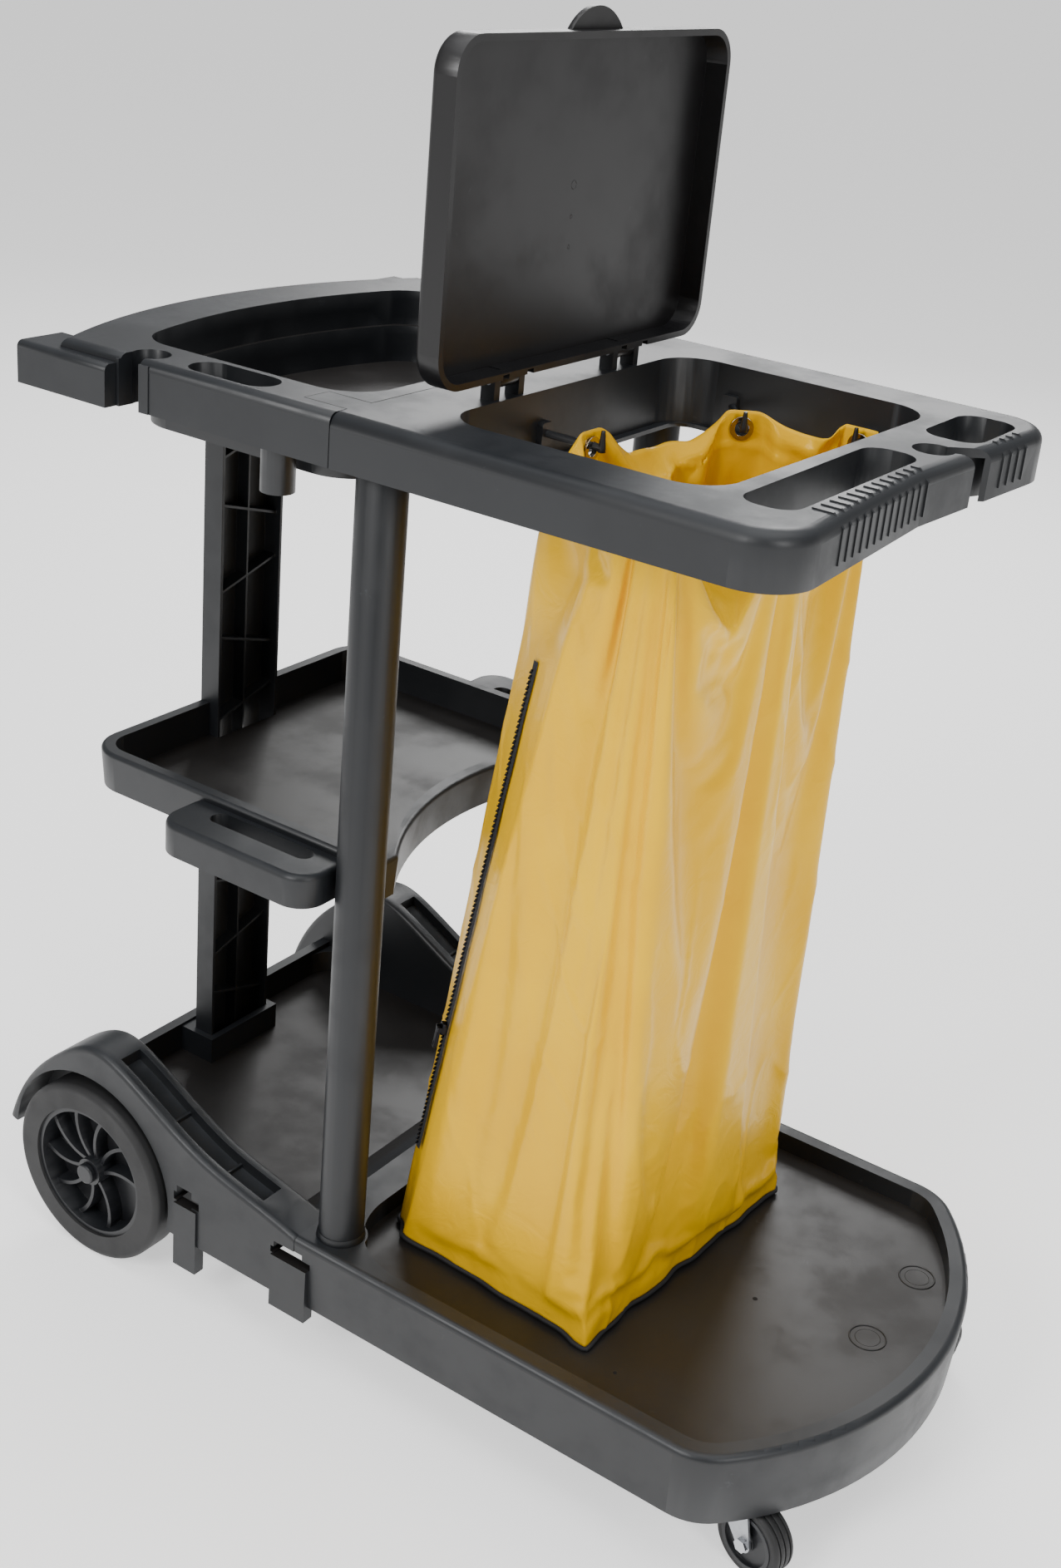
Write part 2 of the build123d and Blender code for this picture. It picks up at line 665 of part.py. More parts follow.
with BuildPart() as top_tray:
    with BuildSketch(Plane.XY.offset(side_skirt_z)):
        add(tray_outline(0))
    extrude(amount=skirt_depth)
    rim_edges = top_tray.edges().group_by(Axis.Z)[-1]
    fillet(rim_edges.filter_by(lambda e: e.center().X < seam_x - 1), tray_round)
    with BuildSketch(Plane.XY.offset(side_skirt_z)):
        for side_name, side in SIDES:
            with Locations(((lug_rear_x + lug_front_x) / 2, side * (tray_half - 12))):
                Rectangle(lug_front_x - lug_rear_x, 2 * (lug_half - tray_half + 12))
    extrude(amount=skirt_depth - lug_drop)
    lug_top_z = rim_height - lug_drop
    lug_tops = top_tray.edges().filter_by_position(Axis.Z, lug_top_z - 0.1, lug_top_z + 0.1)
    fillet(lug_tops.filter_by(lambda e: abs(e.center().Y) > lug_half - 1), 6)
    # hollow underside
    with BuildSketch(Plane.XY.offset(side_skirt_z - 1)):
        add(tray_outline(wall))
    extrude(amount=top_plate_z - side_skirt_z + 1, mode=Mode.SUBTRACT)
    # outer skin of the bin, cups, tool holes, pegs and the seat of the tongues
    with BuildSketch(Plane.XY.offset(rim_height - 2)):
        add(bin_outline(wall, 48))
    extrude(amount=-(bin_depth + 2), taper=3)
    with BuildSketch(Plane.XY.offset(side_skirt_z)):
        for side_name, side in SIDES:
            with Locations((tool_hole_x, side * (tool_hole_y - 2))):
                Circle(tool_hole_radius + wall)
            with Locations((tool_hole_x, side * (tool_hole_y + 9))):
                Rectangle(tool_slot + 2 * wall, 28)
    extrude(amount=rim_underside_z - side_skirt_z)
    with BuildSketch(Plane.XY.offset(rim_height - cup_depth - wall)):
        for side_name, side in SIDES:
            with Locations((cup_x, side * cup_y)):
                SlotOverall(cup_length + 2 * wall, cup_width + 2 * wall)
    extrude(amount=cup_depth)
    with BuildSketch(Plane.XY.offset(peg_low_z)):
        with Locations((peg_x, -peg_y), (peg_x, peg_y)):
            Circle(peg_radius)
    extrude(amount=rim_underside_z - peg_low_z)
    with BuildSketch(Plane.XY.offset(rim_underside_z - 8)):
        for side_name, side in SIDES:
            with Locations(((tongue_rear_x + seam_x) / 2 - 2, side * tongue_mid_y)):
                Rectangle(seam_x - tongue_rear_x + 4, tongue_width + 8)
    extrude(amount=8)
    # everything that is open from above
    with BuildSketch(Plane.XY.offset(rim_height)):
        add(bin_outline(0, 44))
    extrude(amount=-(rim_height - bin_step_z), taper=2, mode=Mode.SUBTRACT)
    with BuildSketch(Plane.XY.offset(bin_step_z + 1)):
        add(bin_outline(-5, 52))
    extrude(amount=-(bin_step_z + 1 - bin_floor_z), taper=3, mode=Mode.SUBTRACT)
    with BuildSketch(Plane.XY.offset(side_skirt_z - 1)):
        for side_name, side in SIDES:
            with Locations((tool_hole_x, side * tool_hole_y)):
                Circle(tool_hole_radius)
            with Locations((tool_hole_x - 4, side * (tool_hole_y + 25))):
                Rectangle(tool_slot - 6, 50)
    extrude(amount=skirt_depth + 2, mode=Mode.SUBTRACT)
    with BuildSketch(Plane.XY.offset(rim_height - cup_depth)):
        for side_name, side in SIDES:
            with Locations((cup_x, side * cup_y)):
                SlotOverall(cup_length, cup_width)
    extrude(amount=cup_depth + 1, mode=Mode.SUBTRACT)
    with BuildSketch(Plane.XY.offset(rim_height - tongue_thick)):
        for side_name, side in SIDES:
            with Locations(((tongue_rear_x + seam_x) / 2, side * tongue_mid_y)):
                Rectangle(seam_x - tongue_rear_x + 1, tongue_width + 2 * seam_gap)
    extrude(amount=tongue_thick + 1, mode=Mode.SUBTRACT)
save(top_tray, "top_tray")

# ---------------------------------------------------------------- bag frame with the handles
# finger openings: rear edge, front edge, near end, far end
near_grip = (250.0, 298.0, -189.0, 38.0)
far_grip = (258.0, 311.0, 112.0, 211.0)
grip_corner = 20.0
grip_rib_pitch = 14.0
clip_x = 291.5
clip_y = 70.0
clip_radius = 18.0
clip_slot = 20.0
grip_rib = 2.4
grip_rib_rise = 1.2
frame_seam_x = seam_x + seam_gap


def frame_outline(inset):
    """Plan of the bag frame: a shallow V across the front."""
    half = half_width - inset
    with BuildSketch() as outline:
        with BuildLine():
            Polyline(
                (frame_seam_x + inset, -half),
                (frame_front_x - inset, -half),
                (frame_front_x - frame_front_dip - inset, 0),
                (frame_front_x - inset, half),
                (frame_seam_x + inset, half),
                close=True,
            )
        make_face()
        corners = outline.vertices().filter_by(lambda v: v.X > 0 and abs(v.Y) > 1)
        fillet(corners, 46 - inset)
    return outline.sketch


def opening_outline(grow, corner):
    """Plan of the bag opening."""
    half = opening_half_width + grow
    with BuildSketch() as outline:
        with BuildLine():
            Polyline(
                (opening_rear_x - grow, -half),
                (opening_front_near_x + grow, -half),
                (opening_front_far_x + grow, half),
                (opening_rear_x - grow, half),
                close=True,
            )
        make_face()
        fillet(outline.vertices(), corner)
    return outline.sketch


def grip_outline(grow):
    """Plan of the two finger openings and the round tool clip between them."""
    with BuildSketch() as outline:
        for rear_x, front_x, near_y, far_y in (near_grip, far_grip):
            with BuildSketch(mode=Mode.PRIVATE) as one:
                length = front_x - rear_x + 2 * grow
                width = far_y - near_y + 2 * grow
                with Locations(((rear_x + front_x) / 2, (near_y + far_y) / 2)):
                    RectangleRounded(length, width, grip_corner + grow)
            add(one.sketch)
        with Locations((clip_x, clip_y)):
            Circle(clip_radius + grow)
    return outline.sketch


clip_angle = 42.0
lug_width = 8.0
knuckle_width = 26.0
knuckle_radius = 7.0
hinge_side_gap = 0.4
lug_offset = knuckle_width / 2 + hinge_side_gap + lug_width / 2
with BuildPart() as top_frame:
    with BuildSketch(Plane.XY.offset(side_skirt_z)):
        add(frame_outline(0))
    extrude(amount=skirt_depth)
    rim_edges = top_frame.edges().group_by(Axis.Z)[-1]
    fillet(rim_edges.filter_by(lambda e: e.center().X > frame_seam_x + 1), frame_round)
    with BuildSketch(Plane.XY.offset(side_skirt_z - 1)):
        add(frame_outline(wall))
    extrude(amount=top_plate_z - side_skirt_z + 1, mode=Mode.SUBTRACT)
    # deep inner skirt, finger wells, clip barrel and post sockets
    with BuildSketch(Plane.XY.offset(inner_skirt_z)):
        add(opening_outline(wall, 44))
    extrude(amount=rim_height - inner_skirt_z - 2)
    with BuildSketch(Plane.XY.offset(side_skirt_z)):
        add(grip_outline(wall))
        with Locations((post_x, -post_y), (post_x, post_y)):
            Circle(post_radius + wall)
    extrude(amount=rim_underside_z - side_skirt_z)
    with BuildSketch(Plane.XY.offset(rim_height - tongue_thick)):
        for side_name, side in SIDES:
            with Locations(((tongue_rear_x + frame_seam_x) / 2 + 4, side * tongue_mid_y)):
                Rectangle(frame_seam_x - tongue_rear_x + 8, tongue_width)
    extrude(amount=tongue_thick)
    with BuildSketch(Plane.XY.offset(inner_skirt_z + wall)):
        add(opening_outline(0, 40))
    extrude(amount=skirt_depth + 60, mode=Mode.SUBTRACT)
    with BuildSketch(Plane.XY.offset(inner_skirt_z - 1)):
        add(opening_outline(-8, 18))
    extrude(amount=10, mode=Mode.SUBTRACT)
    with BuildSketch(Plane.XY.offset(side_skirt_z - 1)):
        add(grip_outline(0))
        with Locations(Location((clip_x, clip_y, 0), (0, 0, clip_angle))):
            with Locations((45, 0)):
                Rectangle(90, clip_slot)
        with Locations((post_x, -post_y), (post_x, post_y)):
            Circle(post_radius + fit)
    extrude(amount=rim_underside_z - side_skirt_z + 1, mode=Mode.SUBTRACT)
    with BuildSketch(Plane.XY.offset(side_skirt_z - 1)):
        add(grip_outline(0))
        with Locations(Location((clip_x, clip_y, 0), (0, 0, clip_angle))):
            with Locations((45, 0)):
                Rectangle(90, clip_slot)
    extrude(amount=skirt_depth + 2, mode=Mode.SUBTRACT)
    # fine ribs round the two grips
    for rear_x, front_x, near_y, far_y in (near_grip, far_grip):
        rib_total = round((far_y - near_y - 44) / grip_rib_pitch)
        for step in range(rib_total):
            rib_y = near_y + 26 + grip_rib_pitch * step
            front_dip = frame_front_dip * (1 - abs(rib_y) / half_width)
            edge_x = frame_front_x - front_dip + grip_rib_rise
            with BuildSketch(Plane.XZ.offset(-rib_y)):
                with BuildLine():
                    Polyline(
                        (front_x + 4, rim_height - 3),
                        (front_x + 4, rim_height + grip_rib_rise),
                        (edge_x - 10, rim_height + grip_rib_rise),
                        (edge_x, rim_height - 9),
                        (edge_x, side_skirt_z + 8),
                        (edge_x - 4, side_skirt_z + 8),
                        (edge_x - 4, rim_height - 8),
                        (edge_x - 13, rim_height - 3),
                        close=True,
                    )
                make_face()
            extrude(amount=grip_rib)
    # hinge lugs
    for hinge_side in (-1, 1):
        for lug_side in (-1, 1):
            lug_y = hinge_side * hinge_y + lug_side * lug_offset
            with BuildSketch(Plane.XZ.offset(-lug_y - lug_width / 2)):
                with Locations((hinge_x, hinge_z)):
                    Circle(knuckle_radius)
                with Locations((hinge_x, (hinge_z + rim_underside_z) / 2)):
                    Rectangle(2 * knuckle_radius, hinge_z - rim_underside_z)
            extrude(amount=lug_width)
    with BuildSketch(Plane.XZ.offset(-opening_half_width)):
        with Locations((hinge_x, hinge_z)):
            Circle(hinge_pin_radius)
    extrude(amount=2 * opening_half_width, mode=Mode.SUBTRACT)
save(top_frame, "top_frame")

# ---------------------------------------------------------------- lid and its hinge pins
lid_low_z = hinge_z + lid_from_axis
lid_back_x = hinge_x + lid_below_axis - lid_depth
lid_corner = 30.0
lid_rim = lid_wall + 2
tab_radius = 39.0
tab_rise = 18.0
with BuildPart() as lid:
    with BuildSketch(Plane.YZ.offset(lid_back_x)):
        with Locations((0, lid_low_z + lid_length / 2)):
            RectangleRounded(2 * lid_half_width, lid_length, lid_corner)
    extrude(amount=lid_depth)
    fillet(lid.edges().group_by(Axis.X)[0], 6)
    with BuildSketch(Plane.YZ.offset(lid_back_x + lid_wall)):
        with Locations((0, lid_low_z + lid_length / 2)):
            RectangleRounded(2 * (lid_half_width - lid_rim), lid_length - 2 * lid_rim, lid_corner - 5)
    extrude(amount=lid_depth, mode=Mode.SUBTRACT)
    # half-round finger tab on the far edge
    with BuildSketch(Plane.YZ.offset(lid_back_x + 8)):
        with BuildLine():
            tab_z = lid_low_z + lid_length - 2
            ThreePointArc((-tab_radius, tab_z), (0, tab_z + tab_rise + 2), (tab_radius, tab_z))
            Line((tab_radius, tab_z), (-tab_radius, tab_z))
        make_face()
    extrude(amount=5)
    # knuckles
    for hinge_side in (-1, 1):
        with BuildSketch(Plane.XZ.offset(-hinge_side * hinge_y - knuckle_width / 2)):
            with Locations((hinge_x, hinge_z)):
                Circle(knuckle_radius)
            with Locations((hinge_x - 1, hinge_z + 5)):
                Rectangle(12, 10)
        extrude(amount=knuckle_width)
    with BuildSketch(Plane.XZ.offset(-opening_half_width)):
        with Locations((hinge_x, hinge_z)):
            Circle(hinge_pin_radius + running)
    extrude(amount=2 * opening_half_width, mode=Mode.SUBTRACT)
    with BuildSketch(Plane.YZ.offset(lid_back_x - 1)):
        for hinge_side in (-1, 1):
            for lug_side in (-1, 1):
                lug_y = hinge_side * hinge_y + lug_side * lug_offset
                with Locations((lug_y, hinge_z + knuckle_radius / 2)):
                    Rectangle(lug_width + 2 * hinge_side_gap, knuckle_radius + 2)
    extrude(amount=lid_depth + 2, mode=Mode.SUBTRACT)
save(lid, "lid")

pin_half = knuckle_width / 2 + hinge_side_gap + lug_width
with BuildPart() as lid_hinge_pins:
    for hinge_side in (-1, 1):
        with BuildSketch(Plane.XZ.offset(-hinge_side * hinge_y - pin_half)):
            with Locations((hinge_x, hinge_z)):
                Circle(hinge_pin_radius)
        extrude(amount=2 * pin_half)
save(lid_hinge_pins, "lid_hinge_pins")

# ---------------------------------------------------------------- bag, eyelets and hooks
bag_chamfer_x = 100.0        # the rear corners of the mouth are pulled in by the corner hooks
bag_chamfer_y = 77.0
bag_corner = 20.0
hook_from_front = 34.0


def bag_section(rear_x, front_x, half, corner_x, corner_y, inset):
    """Plan section of the bag: a box with cut rear corners."""
    cut = sqrt(corner_x**2 + corner_y**2)
    shift = inset * (cut - abs(corner_y)) / abs(corner_x)
    shift_x = inset * (cut - abs(corner_x)) / abs(corner_y)
    return [
        (rear_x + inset, -half + corner_y + shift),
        (rear_x + corner_x + shift_x, -half + inset),
        (front_x - inset, -half + inset),
        (front_x - inset, half - inset),
        (rear_x + corner_x + shift_x, half - inset),
        (rear_x + inset, half - corner_y - shift),
    ]


def mouth_section(inset):
    """Section of the bag at its mouth."""
    return bag_section(
        bag_top_rear_x, bag_top_front_x, bag_top_half_width, bag_chamfer_x, bag_chamfer_y, inset
    )


def foot_section(inset):
    """Section of the bag at its bottom."""
    return bag_section(
        bag_bottom_rear_x, bag_bottom_front_x, bag_bottom_half_width, bag_corner, bag_corner, inset
    )


mouth = mouth_section(0)
foot = foot_section(0)


def midpoint(a, b):
    """Middle of two plan points."""
    return ((a[0] + b[0]) / 2, (a[1] + b[1]) / 2)


chamfer_mid = midpoint(mouth[4], mouth[5])
chamfer_length = sqrt(bag_chamfer_x**2 + bag_chamfer_y**2)
chamfer_out = (-bag_chamfer_y / chamfer_length, bag_chamfer_x / chamfer_length)
hook_places = (
    ((bag_top_rear_x, -40.0), (-1.0, 0.0)),
    (chamfer_mid, chamfer_out),
    ((chamfer_mid[0], -chamfer_mid[1]), (chamfer_out[0], -chamfer_out[1])),
    ((bag_top_front_x - hook_from_front, bag_top_half_width), (0.0, 1.0)),
    ((bag_top_front_x - hook_from_front, -bag_top_half_width), (0.0, -1.0)),
    ((bag_top_front_x, 0.0), (1.0, 0.0)),
)
grommet_tube = 1.2
grommet_flange = 11.0
flange_thick = 1.2
cloth_gap = 0.15


def wall_plane(place, outward):
    """Plane on the outside of the bag wall, its normal pointing outwards."""
    return Plane(origin=(place[0], place[1], grommet_z), z_dir=(outward[0], outward[1], 0))


with BuildPart() as bag:
    with BuildSketch(Plane.XY.offset(bag_bottom_z)):
        Polygon(*foot, align=None)
    with BuildSketch(Plane.XY.offset(bag_band_z)):
        Polygon(*mouth, align=None)
    loft(ruled=True)
    with BuildSketch(Plane.XY.offset(bag_band_z)):
        Polygon(*mouth, align=None)
    extrude(amount=bag_top_z - bag_band_z)
    with BuildSketch(Plane.XY.offset(bag_bottom_z + bag_cloth)):
        Polygon(*foot_section(bag_cloth), align=None)
    with BuildSketch(Plane.XY.offset(bag_band_z)):
        Polygon(*mouth_section(bag_cloth), align=None)
    loft(ruled=True, mode=Mode.SUBTRACT)
    with BuildSketch(Plane.XY.offset(bag_band_z)):
        Polygon(*mouth_section(bag_cloth), align=None)
    extrude(amount=bag_top_z - bag_band_z + 1, mode=Mode.SUBTRACT)
    for place, outward in hook_places:
        with BuildSketch(wall_plane(place, outward).offset(-4 * bag_cloth)):
            Circle(grommet_bore + grommet_tube + cloth_gap)
        extrude(amount=8 * bag_cloth, mode=Mode.SUBTRACT)
save(bag, "bag")

with BuildPart() as bag_grommets:
    for place, outward in hook_places:
        on_wall = wall_plane(place, outward)
        inner_face = -bag_cloth - cloth_gap - flange_thick
        with BuildSketch(on_wall.offset(inner_face)):
            Circle(grommet_bore + grommet_tube)
        extrude(amount=cloth_gap + flange_thick - inner_face)
        for start in (inner_face, cloth_gap):
            with BuildSketch(on_wall.offset(start)):
                Circle(grommet_flange)
            extrude(amount=flange_thick)
        with BuildSketch(on_wall.offset(inner_face - 1)):
            Circle(grommet_bore)
        extrude(amount=3 * bag_cloth + 2, mode=Mode.SUBTRACT)
save(bag_grommets, "bag_grommets")

hook_radius = 3.4
hook_drop = 0.3
hook_reach = 12.0            # how far the hook stands inside the bag wall
hook_rise = 15.0
hook_pad = 6.0
hook_z = grommet_z + grommet_bore - hook_drop - hook_radius
opening_lean = (opening_front_far_x - opening_front_near_x) / (2 * opening_half_width)
opening_front_mid_x = (opening_front_near_x + opening_front_far_x) / 2


def hook_travel(place, outward):
    """Distance from the bag wall out to the inner skirt of the frame."""
    if outward[1]:
        return (opening_half_width - abs(place[1])) / abs(outward[1])
    if outward[0] > 0:
        return opening_front_mid_x - place[0]
    return place[0] - opening_rear_x


with BuildPart() as bag_hooks:
    for place, outward in hook_places:
        travel = hook_travel(place, outward)
        hook_plane = Plane(origin=(place[0], place[1], hook_z), z_dir=(outward[0], outward[1], 0))
        with BuildSketch(hook_plane.offset(-hook_reach)):
            Circle(hook_radius)
        extrude(amount=hook_reach + travel - hook_pad + 2)
        tip = Plane(
            origin=(place[0] - outward[0] * hook_reach, place[1] - outward[1] * hook_reach, hook_z),
            z_dir=(0, 0, 1),
        )
        with BuildSketch(tip):
            Circle(hook_radius)
        with BuildSketch(tip.offset(hook_rise)):
            Circle(hook_radius - 1.6)
        loft()
        with BuildSketch(tip.offset(-hook_radius)):
            Circle(hook_radius)
        extrude(amount=hook_radius)
        # pad that is fixed to the skirt
        foot_place = (place[0] + outward[0] * travel, place[1] + outward[1] * travel)
        if outward[1]:
            pad_plane = Plane(
                origin=(foot_place[0], foot_place[1], hook_z),
                z_dir=(0, -outward[1], 0),
            )
        else:
            pad_plane = Plane(
                origin=(foot_place[0], foot_place[1], hook_z),
                z_dir=(-outward[0], opening_lean if outward[0] > 0 else 0, 0),
            )
        with BuildSketch(pad_plane):
            RectangleRounded(20, 16, 3)
        extrude(amount=hook_pad)
save(bag_hooks, "bag_hooks")

# ---------------------------------------------------------------- piping round the bag bottom
piping_radius = 2.5
piping_out = piping_radius + 0.3
with BuildPart() as bag_piping:
    piping_z = bag_bottom_z + piping_radius
    with BuildLine():
        corner_points = [(x, y, piping_z) for x, y in foot_section(-piping_out)]
        piping_run = Polyline(*corner_points, close=True)
    first_side = Vector(*corner_points[1]) - Vector(*corner_points[0])
    with BuildSketch(Plane(origin=corner_points[0], z_dir=first_side)):
        Circle(piping_radius)
    sweep(path=piping_run, transition=Transition.RIGHT)
save(bag_piping, "bag_piping")

# ---------------------------------------------------------------- zipper down the near rear corner
zip_low_z = 240.0
zip_high_z = 760.0
zip_rest_z = 380.0
zip_tape_width = 16.0
zip_tape_thick = 1.2
zip_stand_off = 0.8
slider_length = 13.0
slider_width = 9.0
slider_thick = 4.0
slider_gap = 0.3
foot_mid = midpoint(foot[0], foot[1])
mouth_mid = midpoint(mouth[0], mouth[1])
zip_foot = Vector(foot_mid[0], foot_mid[1], bag_bottom_z)
zip_head = Vector(mouth_mid[0], mouth_mid[1], bag_band_z)
zip_run = zip_head - zip_foot
zip_across = Vector(foot[1][0] - foot[0][0] + mouth[1][0] - mouth[0][0],
                    foot[1][1] - foot[0][1] + mouth[1][1] - mouth[0][1], 0)
zip_out = zip_across.cross(zip_run).normalized()
if zip_out.Y > 0:
    zip_out = -zip_out
zip_side = zip_out.cross(zip_run).normalized()


def zip_point(height):
    """Point of the zipper's centre line at a height above the floor."""
    return zip_foot + zip_run * ((height - bag_bottom_z) / (bag_band_z - bag_bottom_z))


def zip_plane(height, lift):
    """Plane lying on the bag wall at a height, x up the zipper and z outwards."""
    return Plane(origin=zip_point(height) + zip_out * lift, x_dir=zip_run, z_dir=zip_out)


zip_mid_z = (zip_low_z + zip_high_z) / 2
zip_scale = zip_run.length / (bag_band_z - bag_bottom_z)
zip_length = (zip_high_z - zip_low_z) * zip_scale
with BuildPart() as zipper_tape:
    with BuildSketch(zip_plane(zip_mid_z, zip_stand_off)):
        RectangleRounded(zip_length, zip_tape_width, 3)
    extrude(amount=zip_tape_thick)
save(zipper_tape, "zipper_tape")

slider_lift = zip_stand_off + zip_tape_thick + slider_gap
pivot_height = slider_lift + slider_thick + 2.6
pull_length = 24.0
pull_thick = 1.6
pull_pin = 0.9
pull_end = 1.9
with BuildPart() as zip_slider:
    with BuildSketch(zip_plane(zip_rest_z, slider_lift)):
        RectangleRounded(slider_length, slider_width, 3)
    extrude(amount=slider_thick)
    for ear_side in (-1, 1):
        with BuildSketch(zip_plane(zip_rest_z, slider_lift + slider_thick - 0.5)):
            with Locations((0, ear_side * 3.4)):
                Rectangle(5, 1.4)
        extrude(amount=4.4)
    ear_axis = Plane(
        origin=zip_point(zip_rest_z) + zip_out * pivot_height - zip_side * 4.1,
        z_dir=zip_side,
    )
    with BuildSketch(ear_axis):
        Circle(pull_pin)
    extrude(amount=8.2)
save(zip_slider, "zip_slider")

with BuildPart() as zip_pull:
    pull_plane = zip_plane(zip_rest_z, pivot_height - pull_thick)
    with BuildSketch(pull_plane):
        with Locations((-pull_length / 2 + pull_end, 0)):
            RectangleRounded(pull_length, 5, 2)
        with Locations((-pull_length + 7, 0)):
            SlotOverall(5, 2, mode=Mode.SUBTRACT)
    extrude(amount=2 * pull_thick)
    with BuildSketch(ear_axis.offset(-1)):
        Circle(pull_pin + 0.12)
    extrude(amount=12, mode=Mode.SUBTRACT)
save(zip_pull, "zip_pull")

# ---------------------------------------------------------------- front casters
plate_thick = 3.0
race_radius = 20.0
race_height = 6.0
race_gap = 0.3
crown_thick = 3.0
kingpin_radius = 5.0
fork_half = 17.0
fork_leg = 2.5
caster_tread_width = 25.0
caster_core_width = 27.0
tread_depth = 8.0
groove_depth = 1.4
bolt_radius = 4.0
crown_z = caster_plate_z - race_height - race_gap
for side_name, side in SIDES:
    centre = Plane(origin=(caster_x, side * caster_y, 0))
    heading = radians(caster_headings[side_name])
    ahead = (cos(heading), sin(heading), 0)
    swivel = Plane(origin=(caster_x, side * caster_y, 0), x_dir=ahead, z_dir=(0, 0, 1))
    axle_point = swivel.from_local_coords(Vector(caster_trail, 0, caster_radius))
    wheel_plane = Plane(origin=axle_point, x_dir=ahead, z_dir=(ahead[1], -ahead[0], 0))
    with BuildPart() as mounting_plate:
        with BuildSketch(centre.offset(caster_plate_z)):
            RectangleRounded(caster_plate, caster_plate, 6)
            Circle(kingpin_radius, mode=Mode.SUBTRACT)
            with GridLocations(screw_spacing, screw_spacing, 2, 2):
                Circle(2.3, mode=Mode.SUBTRACT)
        extrude(amount=plate_thick)
    save(mounting_plate, f"caster_plate_{side_name}")

    with BuildPart() as plate_screws:
        with BuildSketch(centre.offset(caster_plate_z - 2.2)):
            with GridLocations(screw_spacing, screw_spacing, 2, 2):
                Circle(4)
        extrude(amount=2.2)
        with BuildSketch(centre.offset(caster_plate_z - 0.5)):
            with GridLocations(screw_spacing, screw_spacing, 2, 2):
                Circle(2.05)
        extrude(amount=20)
    save(plate_screws, f"caster_plate_screws_{side_name}")

    with BuildPart() as kingpin:
        with BuildSketch(centre.offset(crown_z - crown_thick - 4)):
            Circle(kingpin_radius + 4)
        extrude(amount=4 - race_gap)
        with BuildSketch(centre.offset(crown_z - crown_thick - 2)):
            Circle(kingpin_radius)
        extrude(amount=caster_plate_z + plate_thick - crown_z + crown_thick + 2)
    save(kingpin, f"caster_kingpin_{side_name}")

    with BuildPart() as bearing_race:
        with BuildSketch(centre.offset(crown_z + race_gap)):
            Circle(race_radius)
            Circle(kingpin_radius, mode=Mode.SUBTRACT)
        extrude(amount=race_height)
        chamfer(bearing_race.edges().group_by(Axis.Z)[0].sort_by(SortBy.RADIUS)[-1:], 2)
    save(bearing_race, f"caster_race_{side_name}")

    with BuildPart() as fork:
        with BuildSketch(swivel.offset(crown_z - crown_thick)):
            Circle(race_radius + 1)
            with Locations((caster_trail / 4, 0)):
                Rectangle(caster_trail + 8, 2 * fork_half)
            Circle(kingpin_radius + running, mode=Mode.SUBTRACT)
        extrude(amount=crown_thick)
        for leg_side in (-1, 1):
            leg_start = leg_side * fork_half - (fork_leg if leg_side > 0 else 0)
            with BuildSketch(wheel_plane.offset(leg_start)):
                with BuildLine():
                    leg_top = crown_z - caster_radius
                    Polyline(
                        (8, 0),
                        (4 - caster_trail / 4, leg_top),
                        (-caster_trail - 15, leg_top),
                        (-caster_trail - 15, leg_top - 6),
                        (-9, -2),
                    )
                    ThreePointArc((-9, -2), (1, -8.5), (8, 0))
                make_face()
            extrude(amount=fork_leg)
        with BuildSketch(wheel_plane.offset(-fork_half - 1)):
            Circle(bolt_radius)
        extrude(amount=2 * fork_half + 2, mode=Mode.SUBTRACT)
        with BuildSketch(centre.offset(crown_z - 4 * crown_thick)):
            Circle(kingpin_radius + 4.4)
        extrude(amount=3 * crown_thick, mode=Mode.SUBTRACT)
    save(fork, f"caster_fork_{side_name}")

    with BuildPart() as axle_bolt:
        with BuildSketch(wheel_plane.offset(-fork_half - 5)):
            Circle(bolt_radius)
        extrude(amount=2 * fork_half + 5)
        with BuildSketch(wheel_plane.offset(fork_half)):
            RegularPolygon(7, 6)
        extrude(amount=4)
    save(axle_bolt, f"caster_axle_bolt_{side_name}")

    with BuildPart() as axle_nut:
        with BuildSketch(wheel_plane.offset(-fork_half - 4.5)):
            RegularPolygon(7, 6)
            Circle(bolt_radius, mode=Mode.SUBTRACT)
        extrude(amount=4.5)
    save(axle_nut, f"caster_axle_nut_{side_name}")

    core_radius = caster_radius - tread_depth
    with BuildPart() as wheel_core:
        with BuildSketch(wheel_plane.offset(-caster_core_width / 2)):
            Circle(core_radius)
        extrude(amount=caster_core_width)
        for face_side in (-1, 1):
            dish_start = face_side * caster_core_width / 2 - (3.5 if face_side > 0 else 0)
            with BuildSketch(wheel_plane.offset(dish_start)):
                Circle(core_radius - 4)
                Circle(9, mode=Mode.SUBTRACT)
            extrude(amount=3.5, mode=Mode.SUBTRACT)
        with BuildSketch(wheel_plane.offset(-caster_core_width / 2)):
            Circle(bolt_radius + running)
        extrude(amount=caster_core_width, mode=Mode.SUBTRACT)
    save(wheel_core, f"caster_wheel_{side_name}")

    with BuildPart() as tread:
        with BuildSketch(wheel_plane.offset(-caster_tread_width / 2)):
            Circle(caster_radius)
        extrude(amount=caster_tread_width)
        fillet(tread.edges().filter_by(GeomType.CIRCLE), 4)
        with BuildSketch(wheel_plane.offset(-caster_tread_width / 2)):
            Circle(core_radius)
        extrude(amount=caster_tread_width, mode=Mode.SUBTRACT)
        for groove in (-6.5, 0, 6.5):
            with BuildSketch(wheel_plane.offset(groove - 0.8)):
                Circle(caster_radius + 1)
                Circle(caster_radius - groove_depth, mode=Mode.SUBTRACT)
            extrude(amount=1.6, mode=Mode.SUBTRACT)
    save(tread, f"caster_tread_{side_name}")
